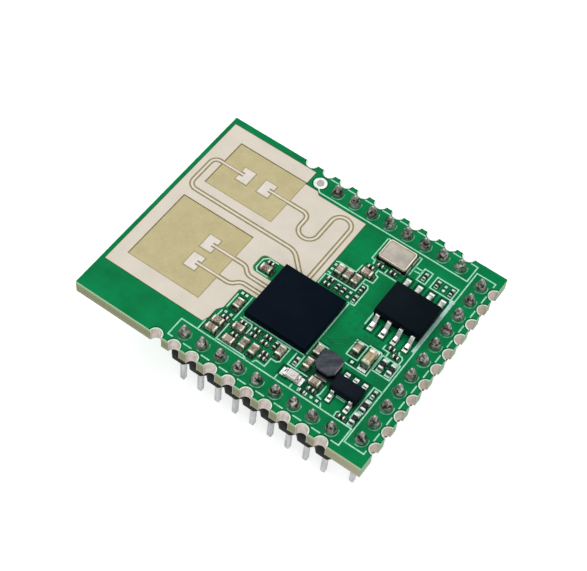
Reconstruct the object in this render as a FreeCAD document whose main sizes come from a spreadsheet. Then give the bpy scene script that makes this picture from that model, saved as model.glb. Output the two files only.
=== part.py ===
"""Millimetre-wave radar module: a green circuit board with four patch antennas under a bare copper
area, plated half holes along three edges, three black pin headers underneath and surface-mounted
parts on top.

All drawing is done in board coordinates: x runs from the antenna edge, y from the front edge and
z = 0 is the board's top face. Each piece is then placed so that the tips of the header pins stand
on z = 0 and the board's outline is centred on the origin. Sizes are millimetres.
"""
import FreeCAD, Part
import math
import os
import Sketcher

SIZES = {
    # board, its plated edge notches and the pin rows, all on one spacing
    "board_thickness": 1.6,
    "row_spacing": 2.0,
    "long_row_start": 9.25,
    "long_row_notches": 10,
    "long_row_margin": 4.25,
    "short_row_margin": 2.35,
    "short_row_notches": 11,
    "notch_radius": 0.57,
    "plating_width": 0.15,
    "row_inset": 1.6,
    "hole_radius": 0.45,
    # pin headers
    "pin_width": 0.5,
    "pin_rise": 1.3,
    "pin_tail": 4.4,
    "pin_tip_length": 0.35,
    "pin_tip_inset": 0.1,
    "header_width": 2.0,
    "header_height": 2.0,
    "header_corner": 0.42,
    "solder_foot_radius": 0.6,
    "solder_foot_height": 0.05,
    "solder_top_radius": 0.38,
    "solder_height": 0.95,
    "flush_joint_radius": 0.5,
    "flush_joint_height": 0.08,
    # bare copper of the antenna area
    "foil_thickness": 0.035,
    "copper_left": 0.45,
    "copper_front": 3.65,
    "copper_back_margin": 0.75,
    "copper_shelf_start": 10.2,
    "copper_shelf_depth": 2.55,
    "copper_right": 17.45,
    "upper_window_left": 2.35,
    "upper_window_right": 10.15,
    "upper_window_front": 16.4,
    "upper_window_back": 22.33,
    "lower_window_left": 1.75,
    "lower_window_right": 9.9,
    "lower_window_front": 5.4,
    "lower_window_back": 13.95,
    "patch_width": 1.33,
    "patch_length": 1.74,
    "patch_notch_depth": 0.42,
    "patch_notch_width": 0.1,
    # steps of the ground plane's edge beside the chip's parts
    "copper_step_left": 11.7,
    "copper_step_middle": 11.95,
    "copper_step_right": 12.35,
    "copper_step_front": 4.4,
    "copper_step_turn": 5.4,
    "copper_step_back": 6.0,
    "copper_ledge_start": 8.4,
    "copper_ledge": 8.6,
    "copper_bevel": 0.35,
    "upper_patch_row": 19.33,
    "upper_patch_left": 5.08,
    "upper_patch_right": 7.58,
    "lower_patch_column": 7.17,
    "lower_patch_back": 10.91,
    "lower_patch_front": 8.41,
    "trace_width": 0.27,
    "trace_gap": 0.11,
    "outer_trace_left": 1.35,
    "outer_trace_front": 15.12,
    "outer_trace_fall": 13.85,
    "loop_left": 12.57,
    "loop_pitch": 2.045,
    "loop_front": 16.8,
    "loop_back": 21.13,
    "receive_bend_start": 11.25,
    "receive_bend_end": 12.0,
    "receive_entry_back": 10.18,
    "receive_entry_front": 9.2,
    "trace_corner": 0.7,
    "trace_wide_corner": 0.85,
    "trace_bend": 0.9,
    "trace_long_bend": 1.7,
    "island_left": 11.78,
    "island_front": 10.95,
    "island_back": 13.03,
    "island_corner": 0.55,
    # radar chip, a sawn block
    "radar_x": 17.72,
    "radar_y": 9.7,
    "radar_length": 6.7,
    "radar_width": 6.6,
    "radar_height": 0.8,
    "radar_edge": 0.04,
    # memory chip, eight gull-wing leads
    "memory_x": 26.1,
    "memory_y": 15.55,
    "memory_length": 4.95,
    "memory_width": 3.9,
    "memory_standoff": 0.1,
    "memory_height": 1.3,
    "memory_span": 6.15,
    "memory_lead_pitch": 1.27,
    "memory_lead_width": 0.44,
    "memory_lead_gauge": 0.2,
    "memory_lead_foot": 0.6,
    "memory_lead_exit": 0.8,
    # voltage regulator, three leads behind and two in front
    "regulator_x": 26.3,
    "regulator_y": 5.43,
    "regulator_length": 2.9,
    "regulator_width": 1.6,
    "regulator_standoff": 0.08,
    "regulator_height": 1.1,
    "regulator_span": 2.8,
    "regulator_lead_pitch": 0.95,
    "regulator_lead_width": 0.38,
    "regulator_lead_gauge": 0.14,
    "regulator_lead_foot": 0.4,
    "regulator_lead_exit": 0.62,
    "mould_draft": 6.0,
    "lead_shoulder": 0.1,
    # power inductor, a cut-corner drum core with a resin wall
    "inductor_x": 23.64,
    "inductor_y": 6.42,
    "inductor_length": 2.15,
    "inductor_width": 2.25,
    "inductor_corner": 0.45,
    "inductor_height": 1.3,
    "inductor_top_flange": 0.35,
    "inductor_bottom_flange": 0.25,
    "inductor_post_width": 1.0,
    "inductor_post_corner": 0.29,
    "inductor_resin_inset": 0.04,
    "inductor_terminal_height": 0.06,
    "inductor_terminal_width": 0.55,
    "inductor_terminal_reach": 0.14,
    # crystal in a ceramic tray with a metal lid
    "crystal_x": 22.0,
    "crystal_setback": 7.25,
    "crystal_length": 3.2,
    "crystal_width": 2.5,
    "crystal_base_height": 0.42,
    "crystal_lid_height": 0.25,
    "crystal_lid_inset": 0.07,
    "crystal_lid_corner": 0.3,
    "crystal_terminal_height": 0.05,
    "crystal_terminal_length": 0.85,
    "crystal_terminal_width": 0.75,
    "crystal_terminal_reach": 0.03,
    # indicator lamp
    "lamp_x": 21.5,
    "lamp_y": 3.86,
    "lamp_length": 1.6,
    "lamp_width": 0.8,
    "lamp_height": 0.5,
    "lamp_terminal": 0.3,
    "lamp_terminal_height": 0.3,
    "lamp_lens_radius": 0.22,
    "lamp_lens_height": 0.08,
    # ceramic capacitors and resistors in five body sizes
    "large_length": 1.6,
    "large_width": 0.8,
    "large_height": 0.8,
    "large_terminal": 0.36,
    "middle_length": 1.05,
    "middle_width": 0.65,
    "middle_height": 0.5,
    "middle_terminal": 0.21,
    "slim_length": 1.0,
    "slim_width": 0.5,
    "slim_height": 0.35,
    "slim_terminal": 0.23,
    "small_length": 0.6,
    "small_width": 0.3,
    "small_height": 0.3,
    "small_terminal": 0.16,
    "flat_length": 0.6,
    "flat_width": 0.3,
    "flat_height": 0.23,
    "flat_terminal": 0.15,
    "terminal_lip": 0.015,
    "bare_pad_width": 0.28,
}

BOARD_EDGE = "0"
RADAR_FRONT = "(dims.radar_y - dims.radar_width / 2)"
RADAR_BACK = "(dims.radar_y + dims.radar_width / 2)"

# Centres of the parts as they lie on the board, with the way their long side points. Each y is
# measured from the line that heads its group, because the parts stand off that edge of the chip.
OUTPUT_CAPACITOR = {
    BOARD_EDGE: [
        (26.03, 9.4, "y"),
    ],
}
CAPACITORS = {
    BOARD_EDGE: [
        (13.26, 7.03, "y"), (13, 11.72, "x"), (21.9, 7.42, "y"), (21.93, 5.73, "y"),
        (23.5, 4.5, "x"), (24.58, 9.77, "y"),
    ],
    RADAR_FRONT: [
        (12.88, -2.94, "x"), (12.88, -1.98, "x"), (14.8, -1.44, "x"), (14.83, -3.01, "x"),
        (16.14, -2.5, "y"), (17.23, -2.5, "y"), (19.25, -1.16, "y"),
    ],
    RADAR_BACK: [
        (18.5, 2.79, "y"), (19.4, 2.79, "y"), (20.3, 2.79, "y"), (20.69, 4.08, "x"),
    ],
}
RESISTORS = {
    BOARD_EDGE: [
        (27.3, 9.72, "y"), (28.2, 9.72, "y"), (28.38, 5.22, "y"), (28.3, 3.63, "y"),
    ],
}
SMALL_CAPACITORS = {
    BOARD_EDGE: [
        (13, 12.5, "x"), (23.63, 3.74, "x"), (27.33, 3.1, "x"), (27.08, 11.6, "x"),
        (27.77, 11.07, "x"),
    ],
    RADAR_FRONT: [
        (13.17, -1.25, "x"), (14.89, -0.73, "x"), (14.94, -2.23, "x"), (16.29, -0.61, "x"),
        (16.29, -1.25, "x"), (17.54, -0.6, "x"), (17.54, -1.28, "x"), (18.51, -0.89, "y"),
        (18.28, -2.15, "x"), (18.28, -2.68, "x"),
    ],
    RADAR_BACK: [
        (21.23, 5.55, "x"), (22.6, 5.55, "x"), (20.59, 4.86, "x"), (21.3, 2.3, "y"),
        (18.38, 1.48, "x"), (18.38, 0.8, "x"), (19.36, 1.12, "y"), (20, 1.12, "y"),
    ],
}
SMALL_RESISTORS = {
    BOARD_EDGE: [
        (23.08, 3.12, "x"), (28.36, 6.72, "y"), (25.18, 20.13, "y"), (26.58, 20.13, "y"),
        (28.1, 20.13, "y"),
    ],
    RADAR_FRONT: [
        (20.9, -1.03, "y"),
    ],
    RADAR_BACK: [
        (21.34, 1.07, "y"),
    ],
}
BARE_PADS = {
    BOARD_EDGE: [
        (12.83, 8.3), (13.3, 8.3), (24.05, 3.15), (24.65, 3.15), (27.35, 20.4), (27.35, 19.9),
        (24.9, 8.35),
    ],
    RADAR_FRONT: [
        (12.8, -0.65), (13.4, -0.65), (19, -0.4),
    ],
    RADAR_BACK: [
        (17.8, 3.2), (17.8, 2.6), (20.65, 1.45), (20.65, 0.87),
    ],
}

BOARD_LENGTH = ("(dims.long_row_start + (dims.long_row_notches - 1) * dims.row_spacing"
                " + dims.long_row_margin)")
BOARD_WIDTH = "(2 * dims.short_row_margin + (dims.short_row_notches - 1) * dims.row_spacing)"
SEAT_HEIGHT = "(dims.board_thickness + dims.header_height + dims.pin_tail)"
LONG_PIN_START = "(dims.long_row_start + dims.row_spacing)"
LONG_PINS = "(dims.long_row_notches - 1)"
RIGHT_PIN_LINE = f"({BOARD_LENGTH} - dims.row_inset)"
BACK_PIN_LINE = f"({BOARD_WIDTH} - dims.row_inset)"

doc = FreeCAD.newDocument("RadarModule")
dims = doc.addObject("Spreadsheet::Sheet", "dims")
for row, (alias, number) in enumerate(SIZES.items(), start=1):
    dims.set(f"A{row}", str(number))
    dims.setAlias(f"A{row}", alias)
doc.recompute()

nodes = []


def size(alias):
    """One driving dimension as a number, read back from the sheet."""
    return float(dims.get(alias))


def bind(thing, **expressions):
    """Tie properties to expressions; a double underscore stands for the dot of a sub-property."""
    for name, expression in expressions.items():
        thing.setExpression(name.replace("__", "."), str(expression))


def finish(piece, label):
    """Name a piece and place it, from board coordinates to the module's own frame."""
    piece.Label = label
    bind(piece, Placement__Base__x=f"-{BOARD_LENGTH} / 2", Placement__Base__y=f"-{BOARD_WIDTH} / 2",
         Placement__Base__z=SEAT_HEIGHT)
    nodes.append(piece)
    return piece


def new_body(label):
    body = doc.addObject("PartDesign::Body", label)
    body.AllowCompound = True
    return finish(body, label)


def datum(body, role):
    """An origin plane or axis of the body, by its role."""
    return [item for item in body.Origin.OriginFeatures if item.Role == role][0]


def new_sketch(body, plane="XY_Plane", x=0, y=0, z=0):
    """A sketch on one of the body's planes, shifted in the plane by x and y and along it by z."""
    sketch = body.newObject("Sketcher::SketchObject", "Profile")
    sketch.AttachmentSupport = [(datum(body, plane), "")]
    sketch.MapMode = "FlatFace"
    bind(sketch, AttachmentOffset__Base__x=x, AttachmentOffset__Base__y=y,
         AttachmentOffset__Base__z=z)
    return sketch


def hold(sketch, kind, *items, to):
    """A dimension constraint whose value follows an expression."""
    index = sketch.addConstraint(Sketcher.Constraint(kind, *items))
    sketch.setExpression(f"Constraints[{index}]", str(to))


def draw_polygon(sketch, corners):
    """A closed outline through corners given as pairs of expressions."""
    count = len(corners)
    spots = [FreeCAD.Vector(math.cos(2 * math.pi * k / count), math.sin(2 * math.pi * k / count), 0)
             for k in range(count)]
    sides = [sketch.addGeometry(Part.LineSegment(spots[k], spots[(k + 1) % count]))
             for k in range(count)]
    for k, side in enumerate(sides):
        sketch.addConstraint(Sketcher.Constraint("Coincident", side, 2, sides[(k + 1) % count], 1))
    for side, (x, y) in zip(sides, corners):
        hold(sketch, "DistanceX", -1, 1, side, 1, 0.1, to=x)
        hold(sketch, "DistanceY", -1, 1, side, 1, 0.1, to=y)


def draw_rectangle(sketch, length, width):
    """A rectangle centred on the sketch's origin."""
    draw_polygon(sketch, [(f"-({length}) / 2", f"-({width}) / 2"), (f"({length}) / 2", f"-({width}) / 2"),
                          (f"({length}) / 2", f"({width}) / 2"), (f"-({length}) / 2", f"({width}) / 2")])


def draw_cut_rectangle(sketch, length, width, corner):
    """A centred rectangle with its four corners cut off at 45 degrees."""
    x = f"({length}) / 2"
    y = f"({width}) / 2"
    draw_polygon(sketch, [
        (f"{corner} - {x}", f"-{y}"), (f"{x} - {corner}", f"-{y}"),
        (x, f"{corner} - {y}"), (x, f"{y} - {corner}"),
        (f"{x} - {corner}", y), (f"{corner} - {x}", y),
        (f"-{x}", f"{y} - {corner}"), (f"-{x}", f"{corner} - {y}"),
    ])


def draw_octagon(sketch, radius, x=0, y=0):
    """An octagon around a circle of the given radius, with flats square to the sketch's axes."""
    near = f"({radius}) * {math.tan(math.pi / 8):.6f}"
    corners = [(near, f"-({radius})"), (radius, f"-{near}"), (radius, near), (near, radius),
               (f"-{near}", radius), (f"-({radius})", near), (f"-({radius})", f"-{near}"),
               (f"-{near}", f"-({radius})")]
    draw_polygon(sketch, [(f"{x} + {u}", f"{y} + {v}") for u, v in corners])


def draw_circle(sketch, radius, x=0, y=0):
    circle = sketch.addGeometry(Part.Circle(FreeCAD.Vector(0.5, 0.5, 0), FreeCAD.Vector(0, 0, 1), 0.5))
    hold(sketch, "DistanceX", -1, 1, circle, 3, 0.1, to=x)
    hold(sketch, "DistanceY", -1, 1, circle, 3, 0.1, to=y)
    hold(sketch, "Radius", circle, 0.5, to=radius)


def draw_half_land(sketch, inner, outer):
    """Half an octagonal land on the +y side of the sketch's origin, with a round half hole in it."""
    near = f"({outer}) * {math.tan(math.pi / 8):.6f}"
    hole = size("notch_radius")
    rim = hole + size("plating_width")
    arc = Part.ArcOfCircle(Part.Circle(FreeCAD.Vector(0, 0, 0), FreeCAD.Vector(0, 0, 1), hole), 0, math.pi)
    bore = sketch.addGeometry(arc)
    flat = rim * math.tan(math.pi / 8)
    spots = [(hole, 0), (rim, 0), (rim, flat), (flat, rim),
             (-flat, rim), (-rim, flat), (-rim, 0), (-hole, 0)]
    spots = [FreeCAD.Vector(x, y, 0) for x, y in spots]
    sides = [sketch.addGeometry(Part.LineSegment(a, b)) for a, b in zip(spots, spots[1:])]
    for before, after in zip(sides, sides[1:]):
        sketch.addConstraint(Sketcher.Constraint("Coincident", before, 2, after, 1))
    sketch.addConstraint(Sketcher.Constraint("Coincident", sides[0], 1, bore, 1))
    sketch.addConstraint(Sketcher.Constraint("Coincident", sides[-1], 2, bore, 2))
    sketch.addConstraint(Sketcher.Constraint("Coincident", bore, 3, -1, 1))
    sketch.addConstraint(Sketcher.Constraint("PointOnObject", bore, 1, -1))
    sketch.addConstraint(Sketcher.Constraint("PointOnObject", bore, 2, -1))
    hold(sketch, "Radius", bore, 0.5, to=inner)
    corners = [(outer, 0), (outer, near), (near, outer), (f"-{near}", outer), (f"-({outer})", near),
               (f"-({outer})", 0)]
    for side, (x, y) in zip(sides[1:], corners):
        hold(sketch, "DistanceX", -1, 1, side, 1, 0.1, to=x)
        hold(sketch, "DistanceY", -1, 1, side, 1, 0.1, to=y)


def pad(body, sketch, length, down=False):
    feature = body.newObject("PartDesign::Pad", "Pad")
    feature.Profile = sketch
    feature.Reversed = down
    bind(feature, Length=length)
    return feature


def pocket(body, sketch, depth, up=False):
    """Cut away from the sketch's plane, downwards unless told otherwise."""
    feature = body.newObject("PartDesign::Pocket", "Pocket")
    feature.Profile = sketch
    feature.Reversed = up
    bind(feature, Length=depth)
    return feature


def bevel_face(body, base, *ends):
    """Bevel all edges of the base's top or bottom face, or of both."""
    doc.recompute()
    heights = [face.CenterOfMass.z for face in base.Shape.Faces]
    wanted = {"top": max(heights), "bottom": min(heights)}
    bevel = body.newObject("PartDesign::Chamfer", "Bevel")
    bevel.Base = (base, [f"Face{heights.index(wanted[end]) + 1}" for end in ends])
    body.Tip = bevel
    return bevel


def repeat(body, feature, axis, count, step, whole=False):
    """A row of copies of one feature, or of the whole body so far."""
    row = body.newObject("PartDesign::LinearPattern", "Row")
    row.TransformMode = "Whole shape" if whole else "Features"
    if not whole:
        row.Originals = [feature]
    row.Direction = (datum(body, axis), [""])
    row.Mode = "Spacing"
    bind(row, Offset=step, Occurrences=count)
    body.Tip = row
    return row


def build_board():
    """The laminate: a plate with a notch for each edge land and a hole for each pin.

    Notches and holes repeat sixty times, so both have eight flats.
    """
    body = new_body("circuit_board")
    outline = new_sketch(body)
    draw_polygon(outline, [(0, 0), (BOARD_LENGTH, 0), (BOARD_LENGTH, BOARD_WIDTH), (0, BOARD_WIDTH)])
    pad(body, outline, "dims.board_thickness", down=True)
    notch = "dims.notch_radius + dims.plating_width"
    rows = [
        ([("dims.long_row_start", 0), ("dims.long_row_start", BOARD_WIDTH)], notch,
         "X_Axis", "dims.long_row_notches"),
        ([(BOARD_LENGTH, "dims.short_row_margin")], notch, "Y_Axis", "dims.short_row_notches"),
        ([(LONG_PIN_START, "dims.row_inset"), (LONG_PIN_START, BACK_PIN_LINE)], "dims.hole_radius",
         "X_Axis", LONG_PINS),
        ([(RIGHT_PIN_LINE, "dims.short_row_margin")], "dims.hole_radius",
         "Y_Axis", "dims.short_row_notches"),
    ]
    for centres, radius, axis, count in rows:
        sketch = new_sketch(body)
        for x, y in centres:
            draw_octagon(sketch, radius, x, y)
        cut = pocket(body, sketch, "dims.board_thickness")
        repeat(body, cut, axis, count, "dims.row_spacing")
    return body


def build_edge_plating(label, x, y, turn, axis, count):
    """The plating of one row of notches: lands with a round half hole, as high as the board."""
    body = new_body(label)
    sketch = new_sketch(body, x=x, y=y)
    bind(sketch, AttachmentOffset__Rotation__Angle=turn)
    draw_half_land(sketch, "dims.notch_radius", "dims.notch_radius + dims.plating_width")
    land = pad(body, sketch, "dims.board_thickness", down=True)
    repeat(body, land, axis, count, "dims.row_spacing")


def build_header(side, x, y, axis, count):
    """One pin header: a strip of cut-corner cells with a square pin through each."""
    cell = new_body(f"header_body_{side}")
    sketch = new_sketch(cell, x=x, y=y, z="-dims.board_thickness")
    length, width = ("dims.row_spacing", "dims.header_width")
    if axis == "Y_Axis":
        length, width = width, length
    draw_cut_rectangle(sketch, length, width, "dims.header_corner")
    draw_rectangle(sketch, "dims.pin_width", "dims.pin_width")
    strip = pad(cell, sketch, "dims.header_height", down=True)
    repeat(cell, strip, axis, count, "dims.row_spacing")


def build_pins(label, x, y, rise, row=None):
    """A square pin with tapered ends, or a row of them along (axis, count), up to rise."""
    body = new_body(label)
    sketch = new_sketch(body, x=x, y=y, z=f"-{SEAT_HEIGHT}")
    draw_rectangle(sketch, "dims.pin_width", "dims.pin_width")
    shank = pad(body, sketch, f"{SEAT_HEIGHT} + {rise}")
    taper = bevel_face(body, shank, "top", "bottom")
    taper.ChamferType = "Two distances"
    bind(taper, Size="dims.pin_tip_length", Size2="dims.pin_tip_inset")
    if row:
        repeat(body, taper, *row, "dims.row_spacing", whole=True)


def build_solder(side, x, y, axis, count):
    """A row of eight-sided solder cones on the board, each with the square of its pin left open."""
    body = new_body(f"solder_joints_{side}")
    foot = new_sketch(body, x=x, y=y)
    draw_octagon(foot, "dims.solder_foot_radius")
    block = pad(body, foot, "dims.solder_height")
    slope = bevel_face(body, block, "top")
    slope.ChamferType = "Two distances"
    bind(slope, Size="dims.solder_height - dims.solder_foot_height",
         Size2="dims.solder_foot_radius - dims.solder_top_radius")
    hole = new_sketch(body, x=x, y=y)
    draw_rectangle(hole, "dims.pin_width", "dims.pin_width")
    pocket(body, hole, "dims.solder_height", up=True)
    repeat(body, None, axis, count, "dims.row_spacing", whole=True)


def build_flush_joint(x, y):
    """The back row's first joint is cut flush: a low button over the end of a short pin."""
    body = new_body("flush_solder_joint")
    sketch = new_sketch(body, x=x, y=y)
    draw_circle(sketch, "dims.flush_joint_radius")
    pad(body, sketch, "dims.flush_joint_height")


def rounded_route(points, radii, width):
    """A closed outline of even width along a route of straight runs with rounded corners.

    The outline's two sides are the route shifted to its left and right, so a corner's radius grows
    on its outside and shrinks on its inside by half the width.
    """
    spots = [FreeCAD.Vector(x, y, 0) for x, y in points]
    runs = [(b - a).normalize() for a, b in zip(spots, spots[1:])]
    edges = []
    tails = []
    for side in (1, -1):
        shift = side * width / 2
        left = [FreeCAD.Vector(-run.y, run.x, 0) for run in runs]
        shifted = [spots[0] + left[0] * shift]
        for k in range(1, len(runs)):
            mitre = left[k - 1] + left[k]
            shifted.append(spots[k] + mitre * (shift / (1 + left[k - 1].dot(left[k]))))
        shifted.append(spots[-1] + left[-1] * shift)
        here = shifted[0]
        for k in range(1, len(runs)):
            turn = math.atan2(runs[k - 1].cross(runs[k]).z, runs[k - 1].dot(runs[k]))
            radius = radii[k - 1] - math.copysign(1, turn) * shift
            reach = radius * math.tan(abs(turn) / 2)
            start = shifted[k] - runs[k - 1] * reach
            stop = shifted[k] + runs[k] * reach
            centre = start + left[k - 1] * math.copysign(radius, turn)
            half_way = centre + (shifted[k] - centre).normalize() * radius
            if (start - here).Length > 1e-6:
                edges.append(Part.makeLine(here, start))
            edges.append(Part.Arc(start, half_way, stop).toShape())
            here = stop
        edges.append(Part.makeLine(here, shifted[-1]))
        tails.append((shifted[0], shifted[-1]))
    edges.append(Part.makeLine(tails[0][0], tails[1][0]))
    edges.append(Part.makeLine(tails[0][1], tails[1][1]))
    return Part.Face(Part.Wire(Part.__sortEdges__(edges)))


def flat_polygon(points):
    spots = [FreeCAD.Vector(x, y, 0) for x, y in points]
    return Part.Face(Part.makePolygon(spots + spots[:1]))


def flat_rectangle(left, front, right, back):
    return flat_polygon([(left, front), (right, front), (right, back), (left, back)])


def patch_face(x, y, feed_side):
    """One antenna patch with two slots beside its feed, which enters on feed_side (-1 or 1) along x."""
    wide = size("patch_width") / 2
    tall = size("patch_length") / 2
    face = flat_rectangle(x - wide, y - tall, x + wide, y + tall)
    edge = x + feed_side * wide
    inner = edge - feed_side * size("patch_notch_depth")
    near = size("trace_width") / 2
    far = near + size("patch_notch_width")
    for low, high in ((near, far), (-far, -near)):
        face = face.cut(flat_rectangle(min(edge, inner), y + low, max(edge, inner), y + high))
    return face


def feed_routes():
    """The four feed lines from patch to chip: corner points and corner radii of each centre line."""
    chip_left = size("radar_x") - size("radar_length") / 2
    chip_back = size("radar_y") + size("radar_width") / 2
    reach = size("patch_width") / 2 - size("patch_notch_depth")
    row = size("upper_patch_row")
    outer_left = size("outer_trace_left")
    outer_front = size("outer_trace_front")
    outer_fall = size("outer_trace_fall")
    step = size("loop_pitch")
    loops = [size("loop_left") + k * step for k in range(3)]
    loop_front = size("loop_front")
    loop_back = size("loop_back")
    column = size("lower_patch_column") + reach
    bend_start = size("receive_bend_start")
    bend_end = size("receive_bend_end")
    back_entry = size("receive_entry_back")
    front_entry = size("receive_entry_front")
    corner = size("trace_corner")
    bend = size("trace_bend")
    return {
        "transmit_antenna_outer": (
            (size("upper_patch_left"), row, -1),
            [(size("upper_patch_left") - reach, row), (outer_left, row), (outer_left, outer_front),
             (outer_fall, outer_front), (outer_fall + outer_front - chip_back, chip_back)],
            [corner, size("trace_wide_corner"), size("trace_long_bend")]),
        "transmit_antenna_inner": (
            (size("upper_patch_right"), row, 1),
            [(size("upper_patch_right") + reach, row), (loops[0], row), (loops[0], loop_front),
             (loops[1], loop_front), (loops[1], loop_back), (loops[2], loop_back),
             (loops[2], chip_back)],
            [corner, step / 2, step / 2, step / 2, step / 2]),
        "receive_antenna_back": (
            (size("lower_patch_column"), size("lower_patch_back"), 1),
            [(column, size("lower_patch_back")), (bend_start, size("lower_patch_back")),
             (bend_end, back_entry), (chip_left, back_entry)],
            [bend, bend]),
        "receive_antenna_front": (
            (size("lower_patch_column"), size("lower_patch_front"), 1),
            [(column, size("lower_patch_front")), (bend_start, size("lower_patch_front")),
             (bend_end, front_entry), (chip_left, front_entry)],
            [bend, bend]),
    }


def island_face(right):
    """The opening in the ground plane left of the chip, rounded at its two left corners."""
    left = size("island_left")
    front = size("island_front")
    back = size("island_back")
    radius = size("island_corner")
    middle = radius * (1 - math.sqrt(0.5))
    spots = [(right, back), (left + radius, back), (left + middle, back - middle),
             (left, back - radius), (left, front + radius), (left + middle, front + middle),
             (left + radius, front), (right, front)]
    spots = [FreeCAD.Vector(x, y, 0) for x, y in spots]
    edges = [Part.makeLine(spots[0], spots[1]), Part.Arc(*spots[1:4]).toShape(),
             Part.makeLine(spots[3], spots[4]), Part.Arc(*spots[4:7]).toShape(),
             Part.makeLine(spots[6], spots[7]), Part.makeLine(spots[7], spots[0])]
    return Part.Face(Part.Wire(edges))


def add_foil(label, faces):
    """A piece of copper foil lying on the board, its faces joined where they meet."""
    sheets = [face.extrude(FreeCAD.Vector(0, 0, size("foil_thickness"))) for face in faces]
    foil = sheets[0].fuse(sheets[1:]).removeSplitter() if len(sheets) > 1 else sheets[0]
    piece = doc.addObject("Part::Feature", label)
    piece.Shape = foil
    finish(piece, label)


def build_antennas():
    """Four patches with their feed lines, and the ground plane with a slot around each line."""
    board_width = 2 * size("short_row_margin") + (size("short_row_notches") - 1) * size("row_spacing")
    chip_left = size("radar_x") - size("radar_length") / 2
    chip_back = size("radar_y") + size("radar_width") / 2
    left = size("copper_left")
    front = size("copper_front")
    back = board_width - size("copper_back_margin")
    shelf = board_width - size("copper_shelf_depth")
    shelf_start = size("copper_shelf_start")
    right = size("copper_right")
    near = size("copper_step_left")
    middle = size("copper_step_middle")
    far = size("copper_step_right")
    ledge = size("copper_ledge")
    bevel = size("copper_bevel")
    plane = flat_polygon([
        (left, front), (near, front), (middle, size("copper_step_front")),
        (middle, size("copper_step_turn")), (far, size("copper_step_back")),
        (far, size("copper_ledge_start")), (far + ledge - size("copper_ledge_start"), ledge),
        (chip_left, ledge), (chip_left, chip_back), (right, chip_back), (right, shelf - bevel),
        (middle, shelf - bevel), (middle - bevel, shelf), (shelf_start, shelf),
        (shelf_start, back), (left, back),
    ])
    windows = [
        flat_rectangle(size("upper_window_left"), size("upper_window_front"),
                       size("upper_window_right"), size("upper_window_back")),
        flat_rectangle(size("lower_window_left"), size("lower_window_front"),
                       size("lower_window_right"), size("lower_window_back")),
    ]
    cuts = windows + [island_face(chip_left)]
    slot_width = size("trace_width") + 2 * size("trace_gap")
    chip = flat_rectangle(chip_left, size("radar_y") - size("radar_width") / 2,
                          size("radar_x") + size("radar_length") / 2, chip_back)
    for label, (patch, points, radii) in feed_routes().items():
        trace = rounded_route(points, radii, size("trace_width")).cut(chip)
        add_foil(label, [patch_face(*patch), trace])
        cuts.append(rounded_route(points, radii, slot_width))
    for cut in cuts:
        plane = plane.cut(cut)
    add_foil("antenna_ground_plane", [plane])


def build_moulded_chip(name):
    """A moulded package: sides drafted up and down from the parting line where the leads leave."""
    body = new_body(f"{name}_body")
    exit_height = f"(dims.{name}_lead_exit - dims.{name}_lead_gauge / 2)"
    sketch = new_sketch(body, x=f"dims.{name}_x", y=f"dims.{name}_y", z=exit_height)
    draw_rectangle(sketch, f"dims.{name}_length", f"dims.{name}_width")
    shell = body.newObject("PartDesign::Pad", "Shell")
    shell.Profile = sketch
    shell.SideType = "Two sides"
    bind(shell, Length=f"dims.{name}_height - {exit_height}", TaperAngle="-dims.mould_draft",
         Length2=f"{exit_height} - dims.{name}_standoff", TaperAngle2="-dims.mould_draft")


def lead_outline(name, side):
    """A gull-wing lead seen from its end, on the +y or -y side of its chip."""
    gauge = f"dims.{name}_lead_gauge"
    tip = f"dims.{name}_span / 2"
    heel = f"{tip} - dims.{name}_lead_foot"
    wall = f"dims.{name}_width / 2"
    knee = f"{wall} + dims.lead_shoulder"
    top = f"dims.{name}_lead_exit"
    outline = [(tip, 0), (tip, gauge), (f"{heel} + {gauge} / 2", gauge), (f"{knee} + {gauge} / 2", top),
               (wall, top), (wall, f"{top} - {gauge}"), (knee, f"{top} - {gauge}"), (heel, 0)]
    return [(f"{side} * ({y})", z) for y, z in outline]


def build_leads(name, rows):
    """The leads of a chip: rows of (side, count, step), each centred on the chip."""
    body = new_body(f"{name}_leads")
    for side, count, step in rows:
        first = f"dims.{name}_x - ({count} - 1) * {step} / 2"
        sketch = new_sketch(body, "YZ_Plane", x=f"dims.{name}_y", z=first)
        draw_polygon(sketch, lead_outline(name, side))
        lead = body.newObject("PartDesign::Pad", "Lead")
        lead.Profile = sketch
        lead.Midplane = True
        bind(lead, Length=f"dims.{name}_lead_width")
        repeat(body, lead, "X_Axis", count, step)


def build_radar_chip():
    """The radar chip: a sawn square block with barely broken top edges."""
    body = new_body("radar_chip")
    sketch = new_sketch(body, x="dims.radar_x", y="dims.radar_y")
    draw_rectangle(sketch, "dims.radar_length", "dims.radar_width")
    block = pad(body, sketch, "dims.radar_height")
    bind(bevel_face(body, block, "top"), Size="dims.radar_edge")


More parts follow.
